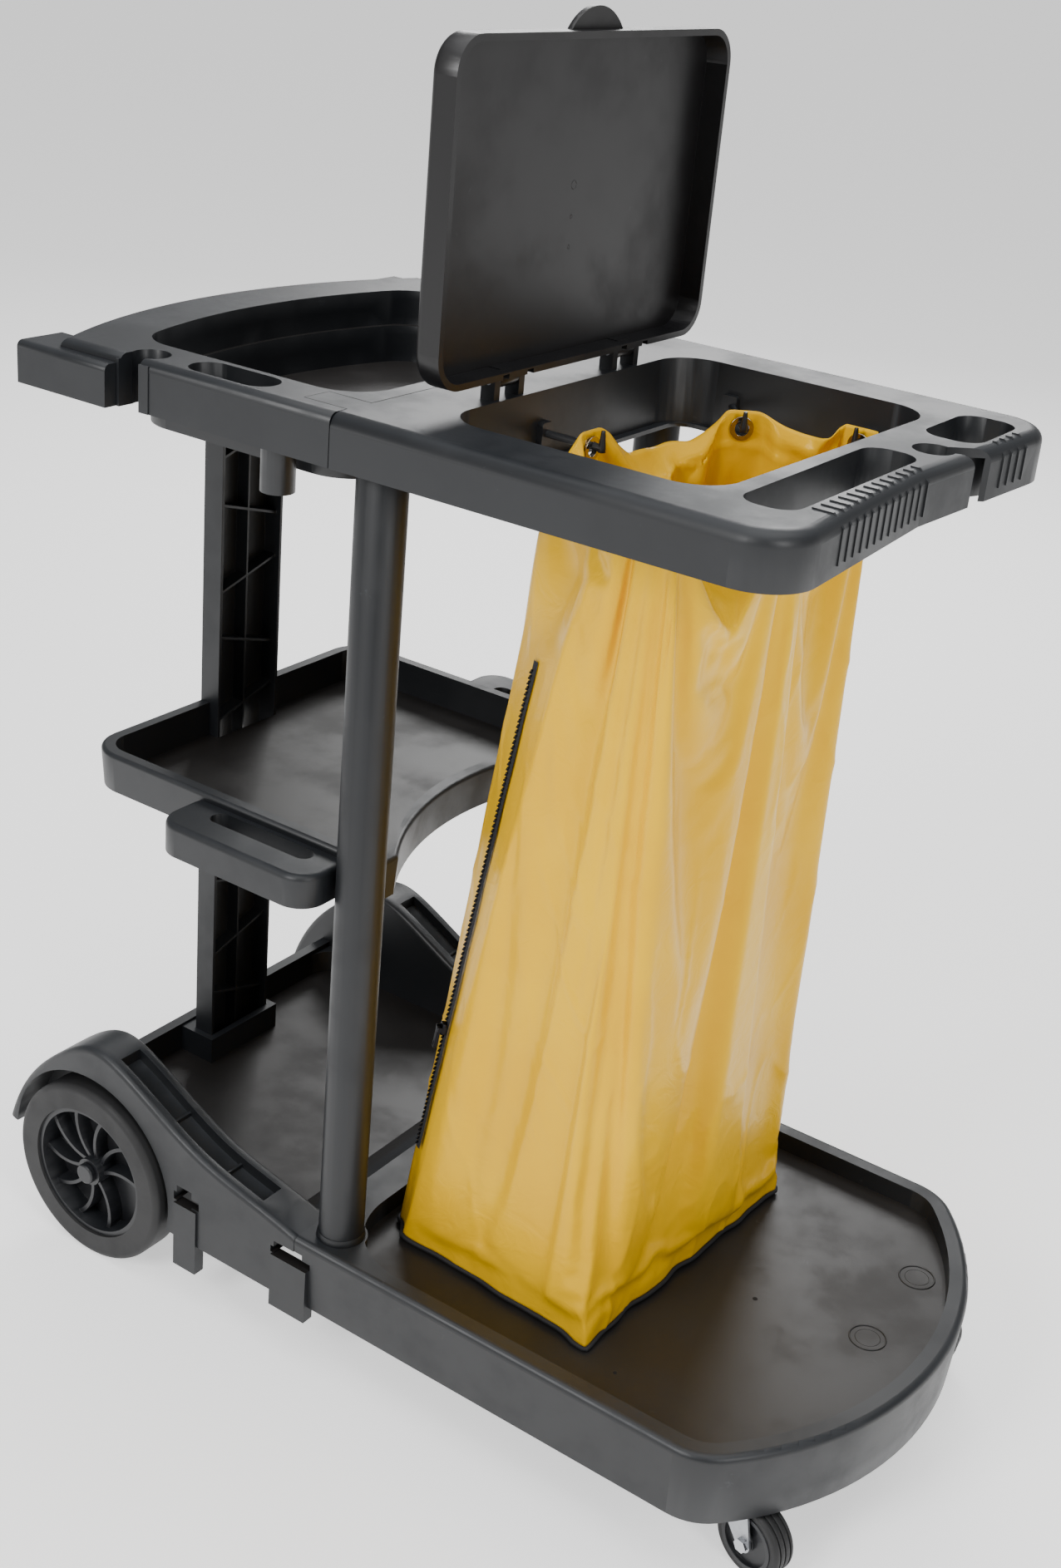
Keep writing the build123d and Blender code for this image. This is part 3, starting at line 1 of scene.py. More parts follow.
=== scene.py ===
# %% [markdown]
# # A housekeeping cart
# The cart is a set of large plastic mouldings: a base on wheels, a shelf, a tray and a frame that holds
# a bag. Their shapes come from the CAD model. This script gives every piece its material and replaces
# the flat, stiff bag of the CAD with cloth that hangs from its hooks.

# %% Load the CAD model
from math import cos, pi, radians, sin

import bmesh
import bpy
import numpy as np
from mathutils import Matrix, Vector
from mathutils.noise import noise


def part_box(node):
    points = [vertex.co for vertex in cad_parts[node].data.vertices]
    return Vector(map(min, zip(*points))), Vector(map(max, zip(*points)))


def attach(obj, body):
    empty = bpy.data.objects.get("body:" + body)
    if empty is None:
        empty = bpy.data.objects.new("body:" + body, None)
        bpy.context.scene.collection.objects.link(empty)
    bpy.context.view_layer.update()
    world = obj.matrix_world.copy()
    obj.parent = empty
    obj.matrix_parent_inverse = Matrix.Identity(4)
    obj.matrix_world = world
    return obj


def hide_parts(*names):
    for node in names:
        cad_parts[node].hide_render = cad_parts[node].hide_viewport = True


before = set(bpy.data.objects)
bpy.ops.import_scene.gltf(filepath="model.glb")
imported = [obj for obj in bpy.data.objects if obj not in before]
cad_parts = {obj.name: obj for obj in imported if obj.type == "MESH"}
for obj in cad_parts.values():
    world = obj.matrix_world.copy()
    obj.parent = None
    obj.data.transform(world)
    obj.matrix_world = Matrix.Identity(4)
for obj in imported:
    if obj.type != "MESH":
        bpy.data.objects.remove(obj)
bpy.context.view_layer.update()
MM = 0.001
NOSE_X = 480.0                             # the base's nose in the CAD's own millimetres
ORIGIN_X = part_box("base_platform")[1].x - NOSE_X * MM
print(len(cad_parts), "CAD nodes, origin shift", round(ORIGIN_X, 5))

# %% [markdown]
# ## Small helpers
# Colours are written as sRGB hex because that is how paint and plastic samples are read, and a renderer
# works in linear light, so one function turns the one into the other. Another adds a shader node.

# %% Helpers


def linear(hex_colour):
    """sRGB hex colour as linear red, green, blue and alpha."""
    parts = [int(hex_colour[i:i + 2], 16) / 255 for i in (0, 2, 4)]
    return [c / 12.92 if c <= 0.04045 else ((c + 0.055) / 1.055) ** 2.4 for c in parts] + [1.0]


def add_node(tree, kind, settings=None, **inputs):
    """Adds a shader node. `settings` are its options, the rest are values or links for its sockets."""
    made = tree.nodes.new("ShaderNode" + kind)
    for key, value in (settings or {}).items():
        setattr(made, key, value)
    for key, value in inputs.items():
        socket = made.inputs[int(key[1:])] if key[1:].isdigit() else made.inputs[key.replace("_", " ")]
        if isinstance(value, bpy.types.NodeSocket):
            tree.links.new(value, socket)
        else:
            socket.default_value = value
    return made


def surface(name, **values):
    """A material with one Principled shader, and the shader itself."""
    material = bpy.data.materials.new(name)
    material.use_nodes = True
    shader = material.node_tree.nodes["Principled BSDF"]
    for key, value in values.items():
        shader.inputs[key.replace("_", " ")].default_value = value
    return material, material.node_tree, shader


def band(tree, value, low, high, start=0.0, end=1.0):
    """Maps a value smoothly from low..high to start..end."""
    ramp = add_node(tree, "MapRange", {"interpolation_type": "SMOOTHSTEP"}, Value=value)
    ramp.inputs["From Min"].default_value = low
    ramp.inputs["From Max"].default_value = high
    ramp.inputs["To Min"].default_value = start
    ramp.inputs["To Max"].default_value = end
    return ramp.outputs["Result"]


def mixed(tree, factor, first, second):
    """Mixes two colours by a factor socket."""
    mix = add_node(tree, "Mix", {"data_type": "RGBA"}, i0=factor, i6=first, i7=second)
    return mix.outputs[2]


def new_mesh(name, vertices, faces, smooth=True):
    """A mesh object made from points and faces."""
    mesh = bpy.data.meshes.new(name)
    mesh.from_pydata([tuple(v) for v in vertices], [], [tuple(f) for f in faces])
    mesh.update()
    if smooth:
        mesh.polygons.foreach_set("use_smooth", [True] * len(mesh.polygons))
    made = bpy.data.objects.new(name, mesh)
    bpy.context.scene.collection.objects.link(made)
    return made


def at(x, y, z):
    """A point given in the CAD's millimetres."""
    return Vector((x * MM + ORIGIN_X, y * MM, z * MM))


# %% [markdown]
# ## Materials
# Polypropylene is moulded in one colour. What makes it look real is its fine spark-eroded texture and a
# grey bloom on faces that look up and catch dust. The warmer, darker tone on the floors down in the trays is
# painted shade.

# %% Moulded plastic
# the third colour is painted shade: the darker, warmer tone of the floors down in the trays
MAIN, BLOOM, DEEP_SHADE, SCUFF = "141619", "24272b", "1c1a19", "4a4d52"
SHADE_FADE = 6 * MM                         # the painted shade colour comes in over this height
BASE_RIM_Z, SHELF_RIM_Z, TRAY_RIM_Z = 142 * MM, 530 * MM, 940 * MM


def moulded(name, main, bloom, shaded_deep, roughness, shade_below=None, grain=0.6 * MM):
    """Textured black plastic. Faces that look up and lie below `shade_below` get the darker, warmer
    `shaded_deep` colour as painted shade of the recess.
    """
    material, tree, shader = surface(name, Roughness=roughness, IOR=1.49)
    place = add_node(tree, "NewGeometry")
    normal = add_node(tree, "SeparateXYZ", i0=place.outputs["Normal"])
    up = band(tree, normal.outputs[2], 0.3, 0.95)
    coords = add_node(tree, "TexCoord").outputs["Object"]
    cloud = add_node(tree, "TexNoise", Vector=coords, Scale=9.0, Detail=5.0, Roughness=0.65)
    patch = band(tree, cloud.outputs["Fac"], 0.35, 0.75)
    dust = band(tree, cloud.outputs["Fac"], 0.3, 0.7, 0.55, 1)
    dusty = add_node(tree, "Math", {"operation": "MULTIPLY"}, i0=up, i1=dust)
    colour = mixed(tree, dusty.outputs[0], linear(main), linear(bloom))
    # up-facing faces below the rim height take the darker, warmer colour as painted shade of the recess
    if shade_below is not None:
        height = add_node(tree, "SeparateXYZ", i0=place.outputs["Position"]).outputs[2]
        recess_shade = band(tree, height, shade_below, shade_below - SHADE_FADE)
        floor = add_node(tree, "Math", {"operation": "MULTIPLY"}, i0=up, i1=recess_shade)
        colour = mixed(tree, floor.outputs[0], colour, linear(shaded_deep))
    scuff = add_node(tree, "TexNoise", Vector=coords, Scale=55.0, Detail=6.0, Roughness=0.7, Distortion=1.2)
    marks = band(tree, scuff.outputs["Fac"], 0.66, 0.74, 0, 0.25)
    colour = mixed(tree, marks, colour, linear(SCUFF))
    tree.links.new(colour, shader.inputs["Base Color"])
    tree.links.new(band(tree, patch, 0, 1, roughness - 0.06, roughness + 0.08), shader.inputs["Roughness"])
    fine = add_node(tree, "TexNoise", Vector=coords, Scale=1 / grain, Detail=2.0)
    bump = add_node(tree, "Bump", Height=fine.outputs["Fac"], Strength=0.35, Distance=0.12 * MM)
    tree.links.new(bump.outputs[0], shader.inputs["Normal"])
    return material


rim_plastic = moulded("moulded_polypropylene", MAIN, BLOOM, DEEP_SHADE, 0.47)
# the base, shelf and tray floors below their rim heights get painted shade
base_plastic = moulded("moulded_polypropylene_base", MAIN, BLOOM, DEEP_SHADE, 0.47, BASE_RIM_Z)
shelf_plastic = moulded("moulded_polypropylene_shelf", MAIN, BLOOM, DEEP_SHADE, 0.47, SHELF_RIM_Z)
tray_plastic = moulded("moulded_polypropylene_tray", MAIN, BLOOM, "211f1e", 0.45, TRAY_RIM_Z)
# the lid's colours are darkened as painted shade, for the shade that lies inside the open lid
shaded_lid_plastic = moulded("smooth_polypropylene_shaded", "0f0e0f", "17171a", "0c0b0c", 0.4)
wheel_plastic = moulded("moulded_nylon", "17181b", "1d1f22", "111214", 0.42)

# %% [markdown]
# ## Rubber and metal
# The tyres are a shade browner and rougher than the plastic. Zinc plating is bright but slightly
# mottled, nickel is smoother and warmer. Metals keep the shader's own index.

# %% Rubber and metal


def metal(name, colour, roughness, mottle):
    """Plated metal whose gloss varies a little in patches."""
    material, tree, shader = surface(name, Metallic=1.0, Base_Color=linear(colour))
    coords = add_node(tree, "TexCoord").outputs["Object"]
    spots = add_node(tree, "TexNoise", Vector=coords, Scale=180.0, Detail=4.0)
    gloss = band(tree, spots.outputs["Fac"], 0.3, 0.7, roughness, roughness + mottle)
    tree.links.new(gloss, shader.inputs["Roughness"])
    return material


rubber = moulded("tyre_rubber", "161617", "1b1b1c", "101010", 0.62)
zinc = metal("zinc_plated_steel", "b4b6ba", 0.28, 0.22)
bright_zinc = metal("zinc_plated_fastener", "c6c8cc", 0.2, 0.15)
nickel = metal("nickel_plated_brass", "b9b2a6", 0.12, 0.12)
enamel = metal("black_enamelled_zinc", "26262a", 0.3, 0.1)

# %% [markdown]
# ## Coated cloth
# The bag is woven nylon with a PVC coat on it. The coat gives a wet, plastic highlight over the
# yellow, and the weave only shows as a faint grid about half a millimetre across. The soft highlight
# is tinted yellow, so that the cloth keeps its colour where it faces the lamps.

# %% Coated cloth
HEM = 32 * MM              # depth of the folded top hem
THREAD = 0.55 * MM         # distance between threads
BAND_WIDTH = 0.314         # width of one band of the wave texture at scale 1
BAG_YELLOW, BAG_PALE = "e0ab00", "e9b600"
bag_cloth_material, cloth_tree, cloth = surface(
    "pvc_coated_nylon", Roughness=0.34, Coat_Weight=0.1, Coat_Roughness=0.08, Specular_Tint=linear("ffd75a")
)
uv = add_node(cloth_tree, "UVMap", {"uv_map": "cloth"}).outputs[0]
shade = add_node(cloth_tree, "TexNoise", Vector=uv, Scale=7.0, Detail=4.0)
patches = band(cloth_tree, shade.outputs["Fac"], 0.3, 0.7)
cloth_colour = mixed(cloth_tree, patches, linear(BAG_YELLOW), linear(BAG_PALE))
cloth_tree.links.new(cloth_colour, cloth.inputs["Base Color"])
threads = BAND_WIDTH / THREAD
weave_across = add_node(cloth_tree, "TexWave", {"bands_direction": "X"}, Vector=uv, Scale=threads)
weave_along = add_node(cloth_tree, "TexWave", {"bands_direction": "Y"}, Vector=uv, Scale=threads)
across, lengthways = weave_across.outputs["Fac"], weave_along.outputs["Fac"]
weave = add_node(cloth_tree, "Math", {"operation": "MULTIPLY"}, i0=across, i1=lengthways)
crease = add_node(cloth_tree, "TexNoise", Vector=uv, Scale=34.0, Detail=3.0, Roughness=0.5, Distortion=1.5)
weave_bump = add_node(cloth_tree, "Bump", Height=weave.outputs[0], Strength=0.25, Distance=0.06 * MM)
crease_bump = add_node(cloth_tree, "Bump", Height=crease.outputs["Fac"], Strength=0.5, Distance=2 * MM)
cloth_tree.links.new(weave_bump.outputs[0], crease_bump.inputs["Normal"])
cloth_tree.links.new(crease_bump.outputs[0], cloth.inputs["Normal"])

webbing, webbing_tree, webbing_shader = surface(
    "black_woven_tape", Roughness=0.75, Base_Color=linear("16161a")
)
tape_coords = add_node(webbing_tree, "TexCoord").outputs["Object"]
tape_grain = add_node(webbing_tree, "TexNoise", Vector=tape_coords, Scale=900.0, Detail=2.0)
tape_bump = add_node(webbing_tree, "Bump", Height=tape_grain.outputs["Fac"], Strength=0.6, Distance=0.3 * MM)
webbing_tree.links.new(tape_bump.outputs[0], webbing_shader.inputs["Normal"])

# %% [markdown]
# ## Dressing the CAD pieces
# Real mouldings have no knife edges. A small bevel on every sharp edge catches a thin line of light,
# which the eye reads as thickness.

# %% Dress the CAD pieces
SHARP = radians(38)                            # edges that turn more than this get a bevel
EDGE_MM = {
    "base_platform": 0.9, "top_tray": 0.9, "top_frame": 0.9, "middle_shelf": 0.9,
    "lid": 0.8, "rear_column": 0.5,
}
SMALL_EDGE_MM = 0.3
MATERIAL_OF = (                                # the longer names stand before the shorter ones
    ("base_platform", base_plastic),
    ("middle_shelf", shelf_plastic),
    ("top_tray", tray_plastic),
    ("lid_hinge_pins", zinc),
    ("lid", shaded_lid_plastic),
    ("top_frame", rim_plastic),
    ("rear_column", rim_plastic),
    ("post_screws", bright_zinc),
    ("post_", rim_plastic),
    ("bag_hooks", wheel_plastic),
    ("bag_grommets", nickel),
    ("bag_piping", webbing),
    ("bag", bag_cloth_material),
    ("zipper_tape", webbing),
    ("zip_", enamel),
    ("rear_axle_caps", wheel_plastic),
    ("rear_axle", zinc),
    ("rear_tyre", rubber),
    ("rear_wheel", wheel_plastic),
    ("caster_tread", rubber),
    ("caster_wheel", wheel_plastic),
    ("caster_plate_screws", bright_zinc),
    ("caster_axle", bright_zinc),
    ("caster_", zinc),
)
for node_name, node_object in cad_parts.items():
    finish = [material for start, material in MATERIAL_OF if node_name.startswith(start)][0]
    node_object.data.materials.clear()
    node_object.data.materials.append(finish)
    weld = node_object.modifiers.new("weld", "WELD")
    weld.merge_threshold = 0.01 * MM
    edge = node_object.modifiers.new("edge", "BEVEL")
    edge.width = EDGE_MM.get(node_name, SMALL_EDGE_MM) * MM
    edge.segments = 2
    edge.limit_method = "ANGLE"
    edge.angle_limit = SHARP
    edge.harden_normals = True
print("materials given to", len(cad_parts), "nodes")

# %% [markdown]
# ## The bag
# The bag is one strip of cloth wrapped round a rectangular bottom, so it has the same length of cloth
# at every height. The hooks hold the mouth smaller than the bottom, and the spare cloth there has to
# go somewhere: it stands in upright folds that fade out towards the bottom.

# %% Shape of the bag before it hangs
MOUTH = ((30, -95), (130, -172), (214, -172), (214, 172), (130, 172), (30, 95))
FOOT = ((-38, -137), (-20, -160), (206, -174), (227, 158), (-16, 164), (-38, 142))
CAD_FOOT = ((-38, -145), (-18, -165), (224, -165), (224, 165), (-18, 165), (-38, 145))
# columns of cloth on each side: near rear corner, near side, front, far side, far corner, back
EDGE_COLUMNS = (16, 34, 68, 34, 16, 50)
ROWS = 112
FOOT_Z, HEM_TOP_Z, BAND_Z, EYELET_Z = 136.5, 934.0, 900.0, 918.0
CLOTH_ROUND = 1190.0                           # length of the strip, mm
FOLDS = 13
HOOKS = ((30, -40), (80, 133.5), (80, -133.5), (180, 172), (180, -172), (214, 0))
ZIP_LOW, ZIP_HIGH = 232.0, 768.0
HOOKED_FROM, HOOKED_OVER = 840.0, 60.0         # heights at which the hooks begin to shape the cloth
DEEPEN = 1.05                                  # a little more depth than a plain sine needs
EAR_ROWS, EAR_WIDTH = 14, 3.2                  # rows and columns of the pulled corner
EAR_PULL = np.array([4.0, -9.0, -2.6])
FLAT = 17.0                                    # the cloth lies flat this far round each eyelet
HOOK_FADE = 24.0                               # and its folds come back over this distance
ZIP_FADE = 90.0                                # folds come back this far above and below the zipper
FOOT_CALM, FOOT_CALM_HEIGHT = 0.3, 150.0       # the bottom seam holds the folds down near it
EYELET_SAG = 5.0                               # the mouth hangs this much lower between two hooks


def along(polygon):
    """Points evenly spaced on each side of a polygon."""
    points = []
    for i, count in enumerate(EDGE_COLUMNS):
        a, b = np.array(polygon[i], float), np.array(polygon[(i + 1) % len(polygon)], float)
        points += [a + (b - a) * k / count for k in range(count)]
    return np.array(points)


def softened(points, passes):
    """Rounds the corners of a closed line of points."""
    for _ in range(passes):
        points = (np.roll(points, 1, 0) + 2 * points + np.roll(points, -1, 0)) / 4
    return points


def outward_of(points):
    """Unit normals of a closed line that runs anticlockwise."""
    run_by = np.roll(points, -1, 0) - np.roll(points, 1, 0)
    normals = np.stack([run_by[:, 1], -run_by[:, 0]], 1)
    return normals / np.maximum(np.linalg.norm(normals, axis=1), 1e-6)[:, None]


def length_of(points):
    """Length of a closed line."""
    return float(np.linalg.norm(np.roll(points, -1, 0) - points, axis=1).sum())


mouth_line, foot_line = along(MOUTH), along(FOOT)
column_count = len(mouth_line)
zip_columns = np.arange(column_count) < EDGE_COLUMNS[0]
rows = []
for row in range(ROWS + 1):
    share = row / ROWS
    height = FOOT_Z + (HEM_TOP_Z - FOOT_Z) * share
    lean = min(1.0, (height - FOOT_Z) / (BAND_Z - FOOT_Z))
    plain = softened(foot_line + (mouth_line - foot_line) * lean, 2 + int(10 * min(1, 4 * share)))
    turn = np.arange(column_count) / column_count * 2 * pi
    spare = max(0.0, CLOTH_ROUND / length_of(plain) - 1)
    wave = CLOTH_ROUND / FOLDS
    calm = FOOT_CALM + (1 - FOOT_CALM) * min(1.0, (height - FOOT_Z) / FOOT_CALM_HEIGHT)
    depth = wave / pi * np.sqrt(spare) * DEEPEN * calm
    drift = 0.5 * sin(2.2 * share + 0.4)
    uneven = 0.75 + 0.25 * np.sin(3 * turn + 2.0)
    folds = np.sin(FOLDS * turn + drift + 0.9 * np.sin(2 * turn + 1.0)) * uneven
    folds = folds + 0.28 * np.sin(2 * FOLDS * turn + 1.7 * share + 0.6) * (1 - share)
    near_hook = np.ones(column_count)
    for hook_x, hook_y in HOOKS:
        gap = np.linalg.norm(plain - (hook_x, hook_y), axis=1)
        near_hook = np.minimum(near_hook, np.clip((gap - FLAT) / HOOK_FADE, 0, 1))
    hooked = max(0.0, min(1.0, (height - HOOKED_FROM) / HOOKED_OVER))
    hold = 1 - hooked * (1 - near_hook)
    zip_free = min(1.0, max(ZIP_LOW - height, height - ZIP_HIGH, 0.0) / ZIP_FADE)
    hold = softened(np.where(zip_columns, zip_free * hold, hold)[:, None], 4)[:, 0]
    offset = (folds - 0.35) * depth * hold
    line = plain + outward_of(plain) * offset[:, None]
    sag = -EYELET_SAG * near_hook
    rows.append(np.column_stack([line, height + sag * hooked]))
wall_points = np.array(rows)                   # rows upwards, columns round

# the near front corner is pulled out into an ear that droops on to the deck
ear_column = EDGE_COLUMNS[0] + EDGE_COLUMNS[1]
for row in range(EAR_ROWS):
    fade = (1 - row / EAR_ROWS) ** 2
    reach = np.exp(-((np.arange(column_count) - ear_column) / EAR_WIDTH) ** 2)[:, None] * fade
    wall_points[row] += reach * EAR_PULL
lengths = [round(length_of(wall_points[r][:, :2])) for r in (0, 40, 80, ROWS)]
print("cloth round the bag, mm, from bottom to top:", lengths)

# %% [markdown]
# ## Hanging it
# The shape above is only a start. A short cloth simulation, held at the eyelets, along the zipper and
# round the bottom seam, lets gravity pull slanting creases through the folds. The cloth is not allowed
# to wander: it stays within a few millimetres of the room that the CAD gives it.

# %% Hang the cloth
HANG_STEPS = 26                # frames of the simulation
MOST_MOVE, MOST_OUT = 26.0, 5.0    # mm that the cloth may move, and may stand outside the CAD's wall
EAR_COLUMNS, EAR_OUT = 8, 12.0     # the pulled corner may stand out further


def signed_outside(points):
    """How far each point lies outside the CAD bag's wall at its height, and which way is out."""
    lean = np.clip((points[:, 2] - FOOT_Z) / (BAND_Z - FOOT_Z), 0, 1)[:, None]
    best, way = np.full(len(points), -1e9), np.zeros((len(points), 2))
    for i in range(6):
        a = np.array(CAD_FOOT[i]) + (np.array(MOUTH[i]) - np.array(CAD_FOOT[i])) * lean
        b_foot, b_mouth = np.array(CAD_FOOT[(i + 1) % 6]), np.array(MOUTH[(i + 1) % 6])
        b = b_foot + (b_mouth - b_foot) * lean
        normal = np.stack([(b - a)[:, 1], -(b - a)[:, 0]], 1)
        normal /= np.linalg.norm(normal, axis=1)[:, None]
        out = ((points[:, :2] - a) * normal).sum(1)
        closer = out > best
        best, way = np.where(closer, out, best), np.where(closer[:, None], normal, way)
    return best, way


def grid_faces(row_count, columns):
    """Quads of a tube of points, outside facing out."""
    faces = []
    for r in range(row_count - 1):
        for c in range(columns):
            d = (c + 1) % columns
            faces.append((r * columns + c, r * columns + d, (r + 1) * columns + d, (r + 1) * columns + c))
    return faces


flat_points = wall_points.reshape(-1, 3)
wall_faces = grid_faces(ROWS + 1, column_count)
start_points = [at(*p) for p in flat_points]
bag_wall = new_mesh("bag_wall", start_points, wall_faces)

pin = bag_wall.vertex_groups.new(name="held")
for index, (x, y, z) in enumerate(flat_points):
    row, column = divmod(index, column_count)
    weight = 1.0 if row == 0 else 0.0
    if row in (1, 2):
        weight = 0.6
    if column < EDGE_COLUMNS[0]:
        weight = max(weight, 1 - max(ZIP_LOW - z, z - ZIP_HIGH, 0.0) / ZIP_FADE)
    for hook_x, hook_y in HOOKS:
        if (x - hook_x) ** 2 + (y - hook_y) ** 2 < FLAT ** 2 and abs(z - EYELET_Z) < FLAT:
            weight = 1.0
    if weight:
        pin.add([index], weight, "REPLACE")

modifier = bag_wall.modifiers.new("hang", "CLOTH")
settings = modifier.settings
settings.quality = 6
settings.mass = 0.25
settings.tension_stiffness = settings.compression_stiffness = 40
settings.shear_stiffness = 14
settings.bending_stiffness = 1.2
settings.air_damping = 3
settings.vertex_group_mass = "held"
modifier.collision_settings.use_collision = False
modifier.collision_settings.use_self_collision = False
modifier.point_cache.frame_start, modifier.point_cache.frame_end = 1, HANG_STEPS
for step in range(1, HANG_STEPS + 1):
    bpy.context.scene.frame_set(step)
settled = bag_wall.evaluated_get(bpy.context.evaluated_depsgraph_get()).to_mesh()
moved = np.array([v.co for v in settled.vertices]) / MM - np.array([ORIGIN_X / MM, 0, 0])
bag_wall.modifiers.clear()
bpy.context.scene.frame_set(1)
change = moved - flat_points
far = np.maximum(np.linalg.norm(change, axis=1) / MOST_MOVE, 1)[:, None]
moved = flat_points + change / far
out, way = signed_outside(moved)
column_of = np.arange(len(moved)) % column_count
limit = np.where(np.abs(column_of - ear_column) < EAR_COLUMNS, EAR_OUT, MOST_OUT)
push = np.maximum(out - limit, 0)
moved[:, :2] -= way * push[:, None]
print("cloth moved up to", np.linalg.norm(change, axis=1).max().round(1), "mm")
print("most outside the CAD wall before it is pushed back:", out.max().round(1), "mm")
bag_wall.data.vertices.foreach_set("co", np.array([at(*p) for p in moved]).ravel())

# %% [markdown]
# ## Hem, bottom and seams
# The top edge is folded over and stitched, so it is twice as thick and puckers along the stitching.
# Black piping covers the seam round the bottom.

# %% UVs, hem and thickness
CLOTH_THICK = 0.9 * MM
uv_layer = bag_wall.data.uv_layers.new(name="cloth")
for polygon in bag_wall.data.polygons:
    columns = [bag_wall.data.loops[i].vertex_index % column_count for i in polygon.loop_indices]
    wraps = max(columns) - min(columns) > column_count / 2
    for loop_index, column in zip(polygon.loop_indices, columns):
        row = bag_wall.data.loops[loop_index].vertex_index // column_count
        around = column + (column_count if wraps and column < column_count / 2 else 0)
        up_cloth = row / ROWS * (HEM_TOP_Z - FOOT_Z)
        uv_layer.data[loop_index].uv = (around / column_count * CLOTH_ROUND * MM, up_cloth * MM)


def finish_cloth(piece, thickness):
    """Smooths a cloth mesh once and gives it its thickness."""
    smooth = piece.modifiers.new("smooth", "SUBSURF")
    smooth.levels = smooth.render_levels = 1
    solid = piece.modifiers.new("thickness", "SOLIDIFY")
    solid.thickness = thickness
    solid.offset = -1
    with bpy.context.temp_override(object=piece, active_object=piece, selected_objects=[piece]):
        bpy.ops.object.modifier_apply(modifier="smooth")
    return piece


finish_cloth(bag_wall, CLOTH_THICK)
ZIP_FOOT, ZIP_MOUTH = np.array([-28.0, -155.0]), np.array([80.0, -133.5])
CREASE, HOLE = 2.2, 8.6                        # height of the creases, radius of an eyelet's hole, mm


def zip_line(height):
    """Where the zipper's middle runs at a height, on the bag's near rear corner."""
    return ZIP_FOOT + (ZIP_MOUTH - ZIP_FOOT) * (height - FOOT_Z) / (BAND_Z - FOOT_Z)


# stitch puckers a hem's depth below the edge
coords = np.array([v.co for v in bag_wall.data.vertices])
uv_of = np.zeros((len(coords), 2))
for loop, uv_point in zip(bag_wall.data.loops, bag_wall.data.uv_layers["cloth"].data):
    uv_of[loop.vertex_index] = uv_point.uv
normals = np.array([v.normal for v in bag_wall.data.vertices])
seam_v = (HEM_TOP_Z - FOOT_Z) * MM - HEM
beside = (uv_of[:, 1] - seam_v) / (3.2 * MM)
groove = np.exp(-beside ** 2) * (-1.3 + 0.8 * np.sin(uv_of[:, 0] / MM * 2 * pi / 9))
hem_step = 0.5 / (1 + np.exp(-np.clip(beside * 3, -30, 30)))
puckers = 0.9 * np.sin(uv_of[:, 0] / MM * 2 * pi / 23 + 1)
puckers *= np.exp(-((uv_of[:, 1] - seam_v) / (12 * MM)) ** 2)


def crease_height(x, y, z):
    """Height in mm of the small sharp creases that stiff coated cloth keeps."""
    ridge = 1 - min(1.0, 3.4 * abs(noise(Vector((x / 46 + z / 190, y / 46 - z / 230, z / 150)))))
    patchy = 0.45 + noise(Vector((x / 90, y / 90, z / 210 + 7.0)))
    room = 1.0
    for hook_x, hook_y in HOOKS:
        gap = ((x - hook_x) ** 2 + (y - hook_y) ** 2 + (z - EYELET_Z) ** 2) ** 0.5
        room = min(room, max(0.0, (gap - FLAT) / 15))
    zip_x, zip_y = zip_line(z)
    room = min(room, max(0.0, (((x - zip_x) ** 2 + (y - zip_y) ** 2) ** 0.5 - 12) / 20))
    return CREASE * ridge ** 3 * max(0.0, patchy) * room


creases = np.array([crease_height(x - ORIGIN_X / MM, y, z) for x, y, z in coords / MM])
coords += normals * ((groove + hem_step + puckers + creases) * MM)[:, None]
bag_wall.data.vertices.foreach_set("co", coords.ravel())
bag_wall.data.materials.append(bag_cloth_material)
# the eyelets' rings cover the edge of each hole
holed = bmesh.new()
holed.from_mesh(bag_wall.data)
eyelets = [at(x, y, EYELET_Z) for x, y in HOOKS]
cut_out = [f for f in holed.faces if min((f.calc_center_median() - e).length for e in eyelets) < HOLE * MM]
bmesh.ops.delete(holed, geom=cut_out, context="FACES")
holed.to_mesh(bag_wall.data)
holed.free()
with bpy.context.temp_override(object=bag_wall, active_object=bag_wall, selected_objects=[bag_wall]):
    bpy.ops.object.modifier_apply(modifier="thickness")

# %% Bottom panel and piping
foot_ring = moved[:column_count]
middle = foot_ring[:, :2].mean(0)
RINGS, FLOOR_LIFT = 24, 0.5    # rings of cloth in the panel, and how far its middle lies off the deck
panel_points, panel_uv = [], []
for ring in range(RINGS):
    share = 1 - ring / RINGS
    for x, y, z in foot_ring:
        px, py = middle[0] + (x - middle[0]) * share, middle[1] + (y - middle[1]) * share
        ripple = 1.4 * noise(Vector((px / 40, py / 40, 3.0))) * min(1, (1 - share) * 8)
        panel_points.append((px, py, z * share + (1 - share) * (FOOT_Z + FLOOR_LIFT) + ripple))
        panel_uv.append((px * MM, py * MM))
panel_points.append((middle[0], middle[1], FOOT_Z + FLOOR_LIFT))
panel_uv.append((middle[0] * MM, middle[1] * MM))
panel_faces = [tuple(reversed(f)) for f in grid_faces(RINGS, column_count)]
last = len(panel_points) - 1
inner = (RINGS - 1) * column_count
panel_faces += [(inner + (c + 1) % column_count, inner + c, last) for c in range(column_count)]
bag_floor = new_mesh("bag_floor", [at(*p) for p in panel_points], panel_faces)
floor_uv = bag_floor.data.uv_layers.new(name="cloth")
for loop, uv_point in zip(bag_floor.data.loops, floor_uv.data):
    uv_point.uv = panel_uv[loop.vertex_index]
bag_floor.data.materials.append(bag_cloth_material)


